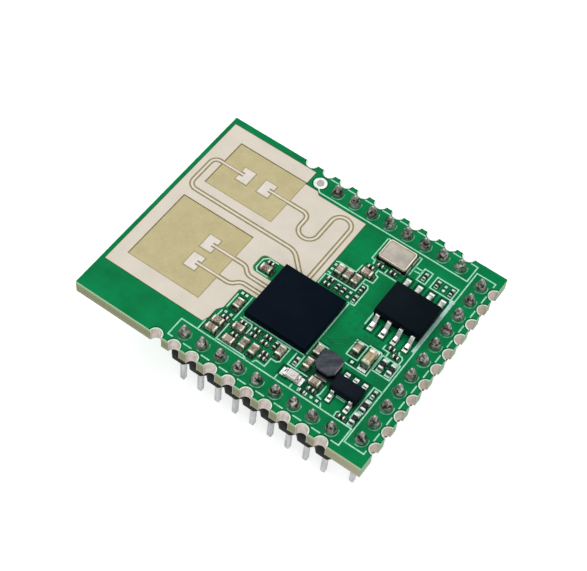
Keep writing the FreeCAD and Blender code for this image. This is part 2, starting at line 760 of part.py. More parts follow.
def build_inductor():
    """A ferrite drum with cut-corner flanges, black resin round its winding and two end plates."""
    x = "dims.inductor_x"
    y = "dims.inductor_y"
    seat = "dims.inductor_terminal_height"
    waist = f"({seat} + dims.inductor_bottom_flange)"
    neck = f"(dims.inductor_height - dims.inductor_top_flange - {waist})"
    core = new_body("power_inductor_core")
    for z, thickness in ((seat, "dims.inductor_bottom_flange"),
                         (f"{waist} + {neck}", "dims.inductor_top_flange")):
        sketch = new_sketch(core, x=x, y=y, z=z)
        draw_cut_rectangle(sketch, "dims.inductor_length", "dims.inductor_width", "dims.inductor_corner")
        pad(core, sketch, thickness)
    post = new_sketch(core, x=x, y=y, z=waist)
    draw_cut_rectangle(post, "dims.inductor_post_width", "dims.inductor_post_width",
                       "dims.inductor_post_corner")
    pad(core, post, neck)
    resin = new_body("power_inductor_resin")
    wall = new_sketch(resin, x=x, y=y, z=waist)
    inset = "2 * dims.inductor_resin_inset"
    draw_cut_rectangle(wall, f"dims.inductor_length - {inset}", f"dims.inductor_width - {inset}",
                       "dims.inductor_corner")
    draw_cut_rectangle(wall, "dims.inductor_post_width", "dims.inductor_post_width",
                       "dims.inductor_post_corner")
    pad(resin, wall, neck)
    plates = new_body("power_inductor_terminals")
    sketch = new_sketch(plates, x=x, y=y)
    wide = "dims.inductor_length / 2 - dims.inductor_corner"
    outer = "dims.inductor_width / 2 + dims.inductor_terminal_reach"
    inner = f"{outer} - dims.inductor_terminal_width"
    for side in (1, -1):
        draw_polygon(sketch, [(f"-({wide})", f"{side} * ({inner})"), (wide, f"{side} * ({inner})"),
                              (wide, f"{side} * ({outer})"), (f"-({wide})", f"{side} * ({outer})")])
    pad(plates, sketch, seat)


def build_crystal():
    """A ceramic tray on four corner terminals, closed by a rounded metal lid."""
    x = "dims.crystal_x"
    y = f"({RADAR_BACK} + dims.crystal_setback)"
    base = new_body("crystal_base")
    tray = new_sketch(base, x=x, y=y, z="dims.crystal_terminal_height")
    draw_rectangle(tray, "dims.crystal_length", "dims.crystal_width")
    pad(base, tray, "dims.crystal_base_height")
    lid = new_body("crystal_lid")
    sheet = new_sketch(lid, x=x, y=y, z="dims.crystal_terminal_height + dims.crystal_base_height")
    draw_rectangle(sheet, "dims.crystal_length - 2 * dims.crystal_lid_inset",
                   "dims.crystal_width - 2 * dims.crystal_lid_inset")
    plate = pad(lid, sheet, "dims.crystal_lid_height")
    doc.recompute()
    uprights = [f"Edge{k + 1}" for k, edge in enumerate(plate.Shape.Edges)
                if abs(edge.tangentAt(edge.FirstParameter).z) > 0.9]
    rounding = lid.newObject("PartDesign::Fillet", "LidCorners")
    rounding.Base = (plate, uprights)
    bind(rounding, Radius="dims.crystal_lid_corner")
    lid.Tip = rounding
    feet = new_body("crystal_terminals")
    sketch = new_sketch(feet, x=x, y=y)
    far_x = "(dims.crystal_length / 2 + dims.crystal_terminal_reach)"
    far_y = "(dims.crystal_width / 2 + dims.crystal_terminal_reach)"
    for side_x in (1, -1):
        for side_y in (1, -1):
            near_x = f"({far_x} - dims.crystal_terminal_length)"
            near_y = f"({far_y} - dims.crystal_terminal_width)"
            draw_polygon(sketch, [
                (f"{side_x} * {near_x}", f"{side_y} * {near_y}"),
                (f"{side_x} * {far_x}", f"{side_y} * {near_y}"),
                (f"{side_x} * {far_x}", f"{side_y} * {far_y}"),
                (f"{side_x} * {near_x}", f"{side_y} * {far_y}"),
            ])
    pad(feet, sketch, "dims.crystal_terminal_height")


def build_lamp():
    """The indicator lamp: a white block between two end terminals, with a round lens on top."""
    body = new_body("indicator_lamp_body")
    block = new_sketch(body, x="dims.lamp_x", y="dims.lamp_y")
    draw_rectangle(block, "dims.lamp_length - 2 * dims.lamp_terminal", "dims.lamp_width")
    pad(body, block, "dims.lamp_height")
    lens = new_body("indicator_lamp_lens")
    disc = new_sketch(lens, x="dims.lamp_x", y="dims.lamp_y", z="dims.lamp_height")
    draw_circle(disc, "dims.lamp_lens_radius")
    pad(lens, disc, "dims.lamp_lens_height")
    ends = new_body("indicator_lamp_terminals")
    sketch = new_sketch(ends, x="dims.lamp_x", y="dims.lamp_y")
    outer = "dims.lamp_length / 2"
    inner = f"({outer} - dims.lamp_terminal)"
    tall = "dims.lamp_width / 2"
    for side in (1, -1):
        draw_polygon(sketch, [(f"{side} * {inner}", f"-{tall}"), (f"{side} * {outer}", f"-{tall}"),
                              (f"{side} * {outer}", tall), (f"{side} * {inner}", tall)])
    pad(ends, sketch, "dims.lamp_terminal_height")


def add_block(x, y, along, length, width, height, z=0):
    """A block centred over a point, with its length along x or y."""
    block = doc.addObject("Part::Box", "Block")
    reach_x, reach_y = (length, width) if along == "x" else (width, length)
    bind(block, Length=reach_x, Width=reach_y, Height=height, Placement__Base__z=z,
         Placement__Base__x=f"{x} - ({reach_x}) / 2", Placement__Base__y=f"{y} - ({reach_y}) / 2")
    return block


def every_place(places):
    """Each place of all groups in turn, as x, y and the rest, with y from the board's front edge."""
    for line, group in places.items():
        for x, y, *rest in group:
            yield (x, f"({line} + {y})", *rest)


def gather(label, blocks):
    """Several like blocks under one name."""
    group = doc.addObject("Part::Compound", label)
    group.Links = blocks
    finish(group, label)


def build_end_capped(label, family, places):
    """Chip capacitors or resistors of one size: a bare middle between two metal ends."""
    length = f"dims.{family}_length"
    end = f"dims.{family}_terminal"
    lip = "dims.terminal_lip"
    middles = []
    caps = []
    for x, y, along in every_place(places):
        middles.append(add_block(x, y, along, f"{length} - 2 * {end}", f"dims.{family}_width - 2 * {lip}",
                                 f"dims.{family}_height - 2 * {lip}", z=lip))
        for side in (1, -1):
            shift = f"{side} * ({length} - {end}) / 2"
            spot = (f"({x} + {shift})", y) if along == "x" else (x, f"({y} + {shift})")
            caps.append(add_block(*spot, along, end, f"dims.{family}_width", f"dims.{family}_height"))
    gather(f"{label}_bodies", middles)
    gather(f"{label}_terminals", caps)


def build_bare_pads():
    """Tinned lands that carry no part."""
    side = "dims.bare_pad_width"
    gather("bare_pads", [add_block(x, y, "x", side, side, "dims.foil_thickness")
                         for x, y in every_place(BARE_PADS)])


def build_rows():
    """Edge plating, headers, pins and solder joints along the front, back and right edges."""
    long_row = ("X_Axis", LONG_PINS)
    short_row = ("Y_Axis", "dims.short_row_notches")
    build_edge_plating("castellated_pads_front", "dims.long_row_start", 0, 0,
                       "X_Axis", "dims.long_row_notches")
    build_edge_plating("castellated_pads_back", "dims.long_row_start", BOARD_WIDTH, 180,
                       "X_Axis", "dims.long_row_notches")
    build_edge_plating("castellated_pads_right", BOARD_LENGTH, "dims.short_row_margin", 90, *short_row)
    build_header("front", LONG_PIN_START, "dims.row_inset", *long_row)
    build_header("back", LONG_PIN_START, BACK_PIN_LINE, *long_row)
    build_header("right", RIGHT_PIN_LINE, "dims.short_row_margin", *short_row)
    second_pin = f"({LONG_PIN_START} + dims.row_spacing)"
    back_pins = f"({LONG_PINS} - 1)"
    rise = "dims.pin_rise"
    build_pins("header_pins_front", LONG_PIN_START, "dims.row_inset", rise, long_row)
    build_pins("header_pins_back", second_pin, BACK_PIN_LINE, rise, ("X_Axis", back_pins))
    build_pins("header_pins_right", RIGHT_PIN_LINE, "dims.short_row_margin", rise, short_row)
    build_pins("trimmed_header_pin", LONG_PIN_START, BACK_PIN_LINE, "0")
    build_solder("front", LONG_PIN_START, "dims.row_inset", *long_row)
    build_solder("back", second_pin, BACK_PIN_LINE, "X_Axis", back_pins)
    build_solder("right", RIGHT_PIN_LINE, "dims.short_row_margin", *short_row)
    build_flush_joint(LONG_PIN_START, BACK_PIN_LINE)


def build_parts():
    """Everything that is soldered onto the top face."""
    build_radar_chip()
    build_moulded_chip("memory")
    build_leads("memory", [(1, 4, "dims.memory_lead_pitch"), (-1, 4, "dims.memory_lead_pitch")])
    build_moulded_chip("regulator")
    build_leads("regulator", [(1, 3, "dims.regulator_lead_pitch"),
                              (-1, 2, "2 * dims.regulator_lead_pitch")])
    build_inductor()
    build_crystal()
    build_lamp()
    build_end_capped("output_capacitor", "large", OUTPUT_CAPACITOR)
    build_end_capped("capacitor", "middle", CAPACITORS)
    build_end_capped("resistor", "slim", RESISTORS)
    build_end_capped("small_capacitor", "small", SMALL_CAPACITORS)
    build_end_capped("small_resistor", "flat", SMALL_RESISTORS)
    build_bare_pads()


def check_document():
    """Stop before anything is written if an object failed or a piece isn't a sound solid."""
    for item in doc.Objects:
        if "Invalid" in item.State or "Error" in item.State:
            raise RuntimeError(f"{item.Name} failed: {item.State}")
    for piece in nodes:
        if piece.Shape.isNull() or not piece.Shape.isValid() or not piece.Shape.Solids:
            raise RuntimeError(f"{piece.Label} has no valid solid")


def write_parts():
    os.makedirs("parts", exist_ok=True)
    for piece in nodes:
        piece.Shape.exportStep(f"parts/{piece.Label}.step")
        print(f"{piece.Label:26s} solids {len(piece.Shape.Solids):3d}"
              f"  volume {piece.Shape.Volume:9.4f} mm3")


build_board()
build_rows()
build_antennas()
build_parts()
doc.recompute()
check_document()
write_parts()
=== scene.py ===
# %% [markdown]
# A radar module on a small green circuit board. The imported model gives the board, its pin headers
# and every soldered part as plain solids. This lesson dresses them: a solder mask with openings,
# tinned lands, solder fillets, white printed lines, rounded edges, and a finish for each surface.
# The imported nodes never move, so every new piece takes its place from them.

# %% The frame
import math
from itertools import combinations

import bmesh
import bpy
from mathutils import Matrix, Quaternion, Vector, noise


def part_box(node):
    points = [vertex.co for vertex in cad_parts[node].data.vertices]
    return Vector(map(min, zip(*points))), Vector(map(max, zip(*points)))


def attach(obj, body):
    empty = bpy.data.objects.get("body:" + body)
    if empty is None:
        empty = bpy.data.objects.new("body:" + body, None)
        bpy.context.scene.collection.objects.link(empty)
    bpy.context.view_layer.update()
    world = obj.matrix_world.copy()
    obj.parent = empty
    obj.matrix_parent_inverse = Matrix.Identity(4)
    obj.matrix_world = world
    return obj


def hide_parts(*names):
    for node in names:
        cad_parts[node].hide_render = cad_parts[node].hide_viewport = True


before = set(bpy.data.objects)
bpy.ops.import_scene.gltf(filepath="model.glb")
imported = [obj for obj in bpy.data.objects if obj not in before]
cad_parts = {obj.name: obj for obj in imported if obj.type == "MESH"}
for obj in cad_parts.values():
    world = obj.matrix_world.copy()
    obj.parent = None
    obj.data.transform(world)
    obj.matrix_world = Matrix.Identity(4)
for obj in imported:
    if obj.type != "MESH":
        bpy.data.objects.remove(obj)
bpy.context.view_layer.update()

print("nodes:", len(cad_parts))

# %% [markdown]
# A board designer works in millimetres from the board's front left corner, with the top face at
# zero. The pieces are drawn that way, because the mesh operators compare distances that would be
# far too small in metres. One matrix then carries a finished mesh into the frame.

# %% From board millimetres to the frame
MM = 0.001
board_low, board_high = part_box("circuit_board")
CORNER = Vector((board_low.x, board_low.y, board_high.z))
TO_FRAME = Matrix.Translation(CORNER) @ Matrix.Scale(MM, 4)
TO_BOARD = TO_FRAME.inverted()
LENGTH, WIDTH, THICKNESS = (board_high - board_low) / MM
print(f"board {LENGTH:.2f} x {WIDTH:.2f} x {THICKNESS:.2f} mm")


def merged_copy(node):
    """A CAD node's mesh in board millimetres, its loose triangles joined into flat faces."""
    bm = bmesh.new()
    bm.from_mesh(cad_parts[node].data)
    bmesh.ops.transform(bm, matrix=TO_BOARD, verts=bm.verts)
    bmesh.ops.remove_doubles(bm, verts=bm.verts, dist=0.002)
    bmesh.ops.dissolve_limit(bm, angle_limit=math.radians(1), verts=bm.verts, edges=bm.edges)
    return bm


def solids(node):
    """The lowest and highest corner of each separate solid of a CAD node, in board millimetres."""
    bm = merged_copy(node)
    waiting = set(bm.verts)
    boxes = []
    while waiting:
        group = [waiting.pop()]
        for vert in group:
            for edge in vert.link_edges:
                other = edge.other_vert(vert)
                if other in waiting:
                    waiting.remove(other)
                    group.append(other)
        low = Vector([min(v.co[k] for v in group) for k in range(3)])
        high = Vector([max(v.co[k] for v in group) for k in range(3)])
        boxes.append((low, high))
    bm.free()
    return sorted(boxes, key=lambda box: tuple(round(c, 3) for c in box[0]))


def centre(box):
    return (box[0] + box[1]) / 2


# %% [markdown]
# Each finish is one shader, brought to life by patterns measured in millimetres on the object
# itself: a grain for the colour, another for the gloss and a relief for the light to catch.

# %% Helpers for finishes
FINISHES = {}


def paint(red, green, blue):
    """A colour as seen on a screen, 0 to 255, turned into the light levels that a shader takes."""
    levels = []
    for value in (red, green, blue):
        share = value / 255
        levels.append(share / 12.92 if share <= 0.04045 else ((share + 0.055) / 1.055) ** 2.4)
    return (*levels, 1.0)


def feed(material, value, node, socket):
    """Set a node's input, or link it where the value is another node's output."""
    if isinstance(value, bpy.types.NodeSocket):
        material.node_tree.links.new(value, node.inputs[socket])
    else:
        node.inputs[socket].default_value = value


def onto_shader(material, value, socket="Base Color"):
    feed(material, value, material.node_tree.nodes["Principled BSDF"], socket)


def new_finish(name, colour, roughness, metallic=0.0, specular=0.5):
    material = bpy.data.materials.new(name)
    material.use_nodes = True
    material.diffuse_color = colour
    onto_shader(material, colour)
    onto_shader(material, roughness, "Roughness")
    onto_shader(material, metallic, "Metallic")
    onto_shader(material, specular, "Specular IOR Level")
    FINISHES[name] = material
    return material


def add_node(material, kind, values, **settings):
    """A new node with its settings, and with its inputs fed by values or other nodes' outputs."""
    node = material.node_tree.nodes.new(kind)
    for name, value in settings.items():
        setattr(node, name, value)
    for socket, value in values.items():
        feed(material, value, node, socket)
    return node


def millimetres(material, stretch=(1, 1, 1), turn=0):
    """The piece's own coordinates in millimetres; stretch draws a pattern out along an axis, and
    turn swings it round the vertical, in degrees."""
    inputs = {"Vector": add_node(material, "ShaderNodeTexCoord", {}).outputs["Object"],
              "Scale": [MM * s for s in stretch], "Rotation": (0, 0, math.radians(turn))}
    return add_node(material, "ShaderNodeMapping", inputs, vector_type="TEXTURE").outputs["Vector"]


def grain(material, per_mm, detail=3.0, stretch=(1, 1, 1), turn=0):
    """An uneven cloudy pattern with about per_mm spots in a millimetre."""
    inputs = {"Vector": millimetres(material, stretch, turn), "Scale": per_mm, "Detail": detail}
    return add_node(material, "ShaderNodeTexNoise", inputs).outputs["Fac"]


def blend(material, first, second, share, mode="MIX"):
    """Two patterns or colours worked into one; share may itself be a pattern."""
    inputs = {"Factor": share, "A": first, "B": second}
    mix = add_node(material, "ShaderNodeMix", inputs, data_type="RGBA", blend_type=mode)
    return mix.outputs["Result"]


def ramp_of(material, pattern, *stops):
    """A colour ramp from pairs of place and screen colour, the first and last at its two ends."""
    ramp = add_node(material, "ShaderNodeValToRGB", {"Fac": pattern})
    elements = ramp.color_ramp.elements
    for place, colour in stops[1:-1]:
        elements.new(place).color = paint(*colour)
    for element, (place, colour) in ((elements[0], stops[0]), (elements[-1], stops[-1])):
        element.position = place
        element.color = paint(*colour)
    return ramp.outputs["Color"]


def tint(material, pattern, dark, light, low=0.35, high=0.65):
    """Colour the finish from dark to light by a pattern."""
    colour = ramp_of(material, pattern, (low, dark), (high, light))
    onto_shader(material, colour)
    return colour


def grow(material, output, start, stop, low=0.0, high=1.0):
    """A share that goes from low to high while the output goes from start to stop."""
    inputs = {"Value": output, "From Min": start, "From Max": stop, "To Min": low, "To Max": high}
    return add_node(material, "ShaderNodeMapRange", inputs).outputs["Result"]


def along(material, axis, start, stop, top=1.0):
    """A share that grows from 0 at start to top at stop along one axis, in millimetres."""
    split = add_node(material, "ShaderNodeSeparateXYZ", {"Vector": millimetres(material)})
    return grow(material, split.outputs[axis], start, stop, high=top)


def vary_gloss(material, pattern, low, high):
    onto_shader(material, grow(material, pattern, 0, 1, low, high), "Roughness")


def emboss(material, pattern, height):
    """Raise the surface by up to height millimetres where the pattern is light."""
    bump = add_node(material, "ShaderNodeBump", {"Distance": height * MM, "Height": pattern})
    onto_shader(material, bump.outputs["Normal"], "Normal")


def clouded(name, roughness, dark, light, spots, span, relief, gloss=(), **shader):
    """A finish that clouds from a dark to a light tone.

    spots are the settings of its grain and span the part of it that turns the colour; relief is
    (spots in a millimetre, height) and gloss (spots in a millimetre, smoothest, roughest), and
    further settings of either grain may follow."""
    middle = [(a + b) / 2 for a, b in zip(dark, light)]
    material = new_finish(name, paint(*middle), roughness, **shader)
    tint(material, grain(material, *spots), dark, light, *span)
    if gloss:
        per_mm, low, high, *more = gloss
        vary_gloss(material, grain(material, per_mm, *more), low, high)
    per_mm, height, *more = relief
    emboss(material, grain(material, per_mm, *more), height)


# %% [markdown]
# The green is a clear lacquer over glass cloth and copper. Its colour drifts a little, the cloth
# shows as a very faint weave, and it is satin, not mirror bright. It looks dark where there is no
# copper under it, and darker still round parts and pads as painted shade. Its mint is a painted
# highlight where its edges are thick and catch the light.

# %% Finishes of the lacquer and the print
green = new_finish("mask_green", paint(0, 128, 68), 0.45, specular=0.03)
weave = blend(green, grain(green, 1.6, 2.0, (4, 0.7, 1)), grain(green, 1.6, 2.0, (0.7, 4, 1)), 0.5,
              "ADD")
drift = blend(green, grain(green, 0.35, 5.0), weave, 0.2)
tint(green, drift, (0, 112, 62), (0, 138, 79), 0.3, 0.7)
vary_gloss(green, grain(green, 3.0), 0.34, 0.5)
emboss(green, blend(green, weave, grain(green, 6.0), 0.5), 0.004)

# Painted shade round lands and parts, partly over the real gap in the copper plane.
clouded("mask_dark", 0.45, (0, 62, 38), (2, 94, 58), (2.5, 4), (0.3, 0.7),
        (6, 0.004), specular=0.03)
# Painted highlight: the light green of the lacquer's edges and beads.
clouded("mask_highlight", 0.4, (50, 160, 108), (140, 220, 176), (2, 4), (0.35, 0.7),
        (6, 0.004), specular=0.06)
clouded("mask_trace", 0.4, (0, 100, 52), (16, 130, 78), (1.5, 4), (0.3, 0.7),
        (6, 0.004), specular=0.05)
clouded("silk_white", 0.55, (128, 222, 180), (198, 246, 224), (4, 4), (0.3, 0.65),
        (12, 0.003), specular=0.1)
clouded("silk_thick", 0.55, (160, 210, 198), (206, 228, 228), (3, 4), (0.3, 0.65),
        (12, 0.003), specular=0.1)
print("finishes of the lacquer and the print:", len(FINISHES))

# %% [markdown]
# The cut edge of the board shows its cloth layers, olive and tan in thin level bands. The mint band
# at its very top is a painted highlight of the lacquer's edge. It turns cream towards the right
# corner, and the right side itself is greener. In the antenna windows the bare laminate is seen
# from above, tan and almost even.

# %% Finishes of the bare cut
LOWER, UPPER, RIGHT = board_low.z / MM, board_high.z / MM, board_high.x / MM
cut = new_finish("board_laminate", paint(140, 143, 108), 0.6, specular=0.12)
inputs = {"Vector": millimetres(cut), "Scale": 1.9, "Distortion": 0.5, "Detail": 1.0}
bands = add_node(cut, "ShaderNodeTexWave", inputs, wave_type="BANDS", bands_direction="Z")
layers = blend(cut, bands.outputs["Fac"], grain(cut, 5.0, 4.0, (3, 3, 0.6)), 0.55)
# The mint stops at the top of the ramp are a painted highlight of the lacquer's edge.
edge_colour = ramp_of(cut, blend(cut, along(cut, "Z", LOWER, UPPER), layers, 0.14),
                      (0, (118, 118, 98)), (0.05, (134, 134, 110)), (0.14, (168, 166, 138)),
                      (0.45, (152, 154, 116)), (0.74, (156, 170, 130)), (0.84, (188, 216, 172)),
                      (0.93, (204, 246, 206)), (1, (184, 240, 196)))
cream_corner = blend(cut, edge_colour, paint(214, 204, 178), along(cut, "X", RIGHT - 6, RIGHT, 0.5))
right_side = along(cut, "X", RIGHT - 0.03, RIGHT - 0.01, 0.7)
green_side = blend(cut, cream_corner, paint(142, 196, 160), right_side)
onto_shader(cut, green_side)
vary_gloss(cut, grain(cut, 8.0), 0.5, 0.75)
emboss(cut, layers, 0.012)

bare = new_finish("bare_laminate", paint(194, 181, 136), 0.55, specular=0.12)
cloth = blend(bare, grain(bare, 0.7, 5.0), grain(bare, 3.0, 4.0), 0.4)
tint(bare, cloth, (192, 179, 134), (207, 195, 151), 0.32, 0.68)
vary_gloss(bare, grain(bare, 4.0), 0.45, 0.65)
emboss(bare, grain(bare, 8.0), 0.003)

# Partly the trace left by etching, partly painted shade in the slots beside the foil.
clouded("etched_edge_shade", 0.6, (138, 128, 84), (168, 158, 112), (3, 4), (0.3, 0.7),
        (9, 0.003), specular=0.05)
# Painted shade: dark lines along the windows' edges and inside the crystal's seal ring.
clouded("trench_shade", 0.6, (82, 76, 54), (122, 112, 82), (3, 4), (0.3, 0.7),
        (9, 0.003), specular=0.05)
print("with the laminate:", len(FINISHES))

# %% [markdown]
# Bare copper is plated with a thin pale metal, so it is cream and matt. The walls of the half
# holes look a little pinker, because they reflect each other, and more tan on the right side.
# Their rims are mint where lacquer has crept over them.

# %% Finishes of the plated copper
clouded("ground_copper", 0.5, (214, 206, 191), (223, 214, 201), (0.5, 6), (0.3, 0.7),
        (9, 0.002), (6, 0.42, 0.58), metallic=0.1, specular=0.12)
clouded("patch_copper", 0.48, (216, 208, 198), (228, 221, 213), (1.1, 5), (0.3, 0.7),
        (9, 0.002), (7, 0.4, 0.55), metallic=0.1, specular=0.12)
clouded("foil_edge", 0.5, (180, 166, 126), (204, 192, 158), (2, 4), (0.3, 0.7),
        (9, 0.002), specular=0.1)
clouded("rim_metal", 0.35, (174, 210, 188), (240, 250, 243), (2.2, 4), (0.3, 0.65),
        (8, 0.004), (6, 0.25, 0.45), metallic=0.25, specular=0.3)

wall = new_finish("edge_plating", paint(220, 209, 199), 0.45, metallic=0.2, specular=0.2)
streaks = blend(wall, grain(wall, 1.6, 5.0), grain(wall, 4.0, 3.0, (1, 1, 12)), 0.5)
plating = tint(wall, streaks, (196, 182, 172), (240, 230, 221))
right_side = along(wall, "X", RIGHT - 0.9, RIGHT - 0.6, 0.4)
onto_shader(wall, blend(wall, plating, paint(150, 132, 98), right_side))
vary_gloss(wall, grain(wall, 5.0), 0.3, 0.55)
emboss(wall, grain(wall, 5.0, 3.0, (1, 1, 8)), 0.006)
print("with the plating:", len(FINISHES))

# %% [markdown]
# Tinned metal and solder are greyer and much shinier. Each joint froze its own way, so its surface
# is uneven; the dark and bright blots on the solder are painted reflections and highlights, there
# is a reddish breath here and there, and the foot is painted green as a reflection of the board.
# The pins are bright below the board and dull above it, where the solder wetted them.

# %% Finishes of the tin, the solder and the pins
solder = new_finish("solder_metal", paint(116, 116, 108), 0.5, metallic=0.2, specular=0.2)
# The dark and bright blots are painted reflections and highlights.
blots = blend(solder, grain(solder, 3.0, 3.0), grain(solder, 1.1, 2.0), 0.4)
blotted = tint(solder, blots, (26, 24, 23), (226, 220, 212), 0.44, 0.6)
breath = grow(solder, grain(solder, 1.3, 3.0), 0.5, 0.62, high=0.45)
blushed = blend(solder, blotted, paint(92, 44, 44), breath)
# The foot is painted green as a reflection of the board.
foot = along(solder, "Z", UPPER + 0.55, UPPER + 0.05, 0.7)
onto_shader(solder, blend(solder, blushed, paint(74, 136, 106), foot))
vary_gloss(solder, grain(solder, 3.5, 4.0), 0.35, 0.6)
emboss(solder, blots, 0.06)

pin = new_finish("pin_metal", paint(194, 194, 195), 0.35, metallic=0.6)
drawn = tint(pin, grain(pin, 2.2, 4.0, (1, 1, 6)), (166, 166, 168), (212, 212, 214))
tip = along(pin, "Z", UPPER + 0.2, UPPER + 0.5, 0.85)
onto_shader(pin, blend(pin, drawn, paint(146, 142, 138), tip))
vary_gloss(pin, grain(pin, 5.0, 3.0, (1, 1, 5)), 0.22, 0.42)
emboss(pin, grain(pin, 8.0, 3.0, (1, 1, 8)), 0.004)

# Painted shade: the dark green of the pin lands at the foot of each joint.
clouded("land_foot_shade", 0.4, (20, 70, 48), (88, 138, 110), (1.8, 4), (0.35, 0.7),
        (5, 0.01, 4), specular=0.08)
clouded("mint_land", 0.4, (128, 178, 150), (206, 236, 220), (2.8, 4), (0.32, 0.66),
        (6, 0.01, 4), (6, 0.3, 0.5), metallic=0.15, specular=0.2)
clouded("tinned", 0.32, (168, 166, 156), (238, 240, 233), (2.6, 5), (0.32, 0.62),
        (6, 0.02, 4), (6, 0.22, 0.45), metallic=0.45)
clouded("end_metal", 0.38, (152, 155, 132), (240, 238, 216), (3.2, 5), (0.32, 0.62),
        (6, 0.02, 4), (6, 0.28, 0.5), metallic=0.25, specular=0.3)
clouded("bright_end", 0.38, (182, 198, 186), (244, 248, 242), (3, 5), (0.3, 0.62),
        (6, 0.015, 4), (6, 0.28, 0.5), metallic=0.2, specular=0.3)
# Painted reflection of the green board, and painted shade, on fillets and lands.
clouded("solder_green_reflection", 0.42, (26, 44, 34), (122, 146, 124), (3, 4), (0.4, 0.7),
        (5, 0.03, 4), (5, 0.25, 0.5), metallic=0.3, specular=0.2)
clouded("lead_metal", 0.28, (190, 190, 186), (244, 244, 241), (2, 4), (0.35, 0.6),
        (7, 0.005), (5, 0.2, 0.4), metallic=0.75)
clouded("lid_metal", 0.55, (176, 169, 160), (208, 198, 183), (1, 5), (0.35, 0.65),
        (10, 0.002, 3, (8, 1, 1)), (8, 0.45, 0.6, 3, (6, 1, 1)),
        metallic=0.15, specular=0.15)
clouded("seal_metal", 0.4, (204, 194, 168), (248, 240, 214), (1.1, 4), (0.35, 0.65),
        (9, 0.003), (8, 0.3, 0.5), metallic=0.15, specular=0.3)
print("with the metals:", len(FINISHES))

# %% [markdown]
# The chips are almost black resin, faintly blue on the radar chip, with a fine salt-like grain.
# The small capacitors are fired brown ceramic, the largest one is ochre, and the resistors have a
# black glaze. The inductor's ferrite is ground flat and shows as dark grey.

# %% Chip and ceramic finishes
FINE = ((0.4, 4.0), (14.0, 2.0), 0.4)


def moulded(name, dark, light, low, high, height=0.006, specular=0.04, grains=FINE,
            span=(0.35, 0.65)):
    """A resin or ceramic, from its darker and lighter tone and its gloss range. grains are the
    settings of the two grains that colour it, and the share of the second."""
    resin = new_finish(name, paint(*dark), 0.5, specular=specular)
    coarse, fine, share = grains
    tint(resin, blend(resin, grain(resin, *coarse), grain(resin, *fine), share), dark, light, *span)
    vary_gloss(resin, grain(resin, 5.0), low, high)
    emboss(resin, grain(resin, 16.0), height)


moulded("radar_resin", (3, 13, 25), (7, 19, 32), 0.38, 0.48, 0.003, 0.02)
moulded("memory_resin", (7, 16, 21), (13, 25, 31), 0.45, 0.6, specular=0.03)
moulded("regulator_resin", (14, 20, 28), (24, 32, 42), 0.45, 0.6)
moulded("header_plastic", (11, 9, 10), (24, 21, 22), 0.4, 0.55)
moulded("wall_resin", (8, 8, 11), (18, 18, 22), 0.35, 0.5)
moulded("tray_ceramic", (12, 12, 13), (26, 26, 28), 0.4, 0.55)
moulded("resistor_glaze", (9, 10, 13), (24, 26, 30), 0.2, 0.35, 0.004, 0.12)
moulded("ferrite", (60, 66, 73), (100, 100, 109), 0.5, 0.7, 0.01, 0.05,
        ((1.3, 2.0, (0.6, 6, 1), -50), (5.0, 3.0), 0.3), (0.42, 0.68))
# Painted highlight for the inductor's lit right edges.
moulded("ferrite_highlight", (112, 108, 118), (172, 162, 174), 0.4, 0.55, specular=0.1)
moulded("brown_ceramic", (92, 79, 71), (214, 194, 178), 0.4, 0.6, 0.02, 0.12,
        ((1.2, 3.0), (6.0, 3.0), 0.5), (0.4, 0.62))
moulded("dark_ceramic", (18, 18, 16), (54, 46, 40), 0.4, 0.6, 0.008, 0.1)
clouded("ochre_ceramic", 0.5, (138, 122, 90), (196, 182, 146),
        (3, 3, (0.8, 3, 1)), (0.36, 0.64), (16, 0.008), (5, 0.4, 0.6), specular=0.04)
moulded("lamp_white", (222, 216, 214), (248, 244, 242), 0.3, 0.45)
moulded("lens_resin", (214, 204, 204), (238, 230, 230), 0.2, 0.3, 0.002, 0.3)
moulded("lamp_mark_red", (176, 84, 92), (216, 128, 130), 0.4, 0.5)
print("finishes:", len(FINISHES))

# %% [markdown]
# Every new piece is drawn in a bmesh and closed in the same way: its normals are turned out, the
# matrix carries it into the frame, sharp edges stay crisp, and it rides on the module's one body.
# Most pieces are flat sheets: an outline is filled round its holes and raised to its thickness.

# %% Closing a piece, and flat sheets
SHARP = math.radians(38)


def placed(name, data):
    thing = bpy.data.objects.new(name, data)
    bpy.context.scene.collection.objects.link(thing)
    return thing


def close_piece(name, bm, finish, slot="board_laminate", *replaced):
    """Turn a bmesh in board millimetres into a piece of the module."""
    bmesh.ops.recalc_face_normals(bm, faces=bm.faces)
    bmesh.ops.transform(bm, matrix=TO_FRAME, verts=bm.verts)
    mesh = bpy.data.meshes.new(name)
    bm.to_mesh(mesh)
    bm.free()
    mesh.shade_smooth()
    mesh.set_sharp_from_angle(angle=SHARP)
    mesh.materials.append(FINISHES[finish])
    piece = placed(name, mesh)
    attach(piece, "root")
    if replaced:
        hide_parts(*replaced)
    print(f"{name}: {len(mesh.polygons)} faces")


def arc(x, y, radius, start, stop, steps):
    """Points along an arc, angles in degrees."""
    turns = [math.radians(start + (stop - start) * k / steps) for k in range(steps + 1)]
    return [(x + radius * math.cos(a), y + radius * math.sin(a)) for a in turns]


def ring(x, y, radius, steps=20):
    return arc(x, y, radius, 0, 360 - 360 / steps, steps - 1)


def rectangle(left, front, right, back):
    return [(left, front), (right, front), (right, back), (left, back)]


def draw_out(bm, drawn, step):
    """Extrude the faces among what an operator drew, by a step."""
    faces = [item for item in drawn if isinstance(item, bmesh.types.BMFace)]
    grown = bmesh.ops.extrude_face_region(bm, geom=faces)["geom"]
    verts = [item for item in grown if isinstance(item, bmesh.types.BMVert)]
    bmesh.ops.translate(bm, vec=step, verts=verts)


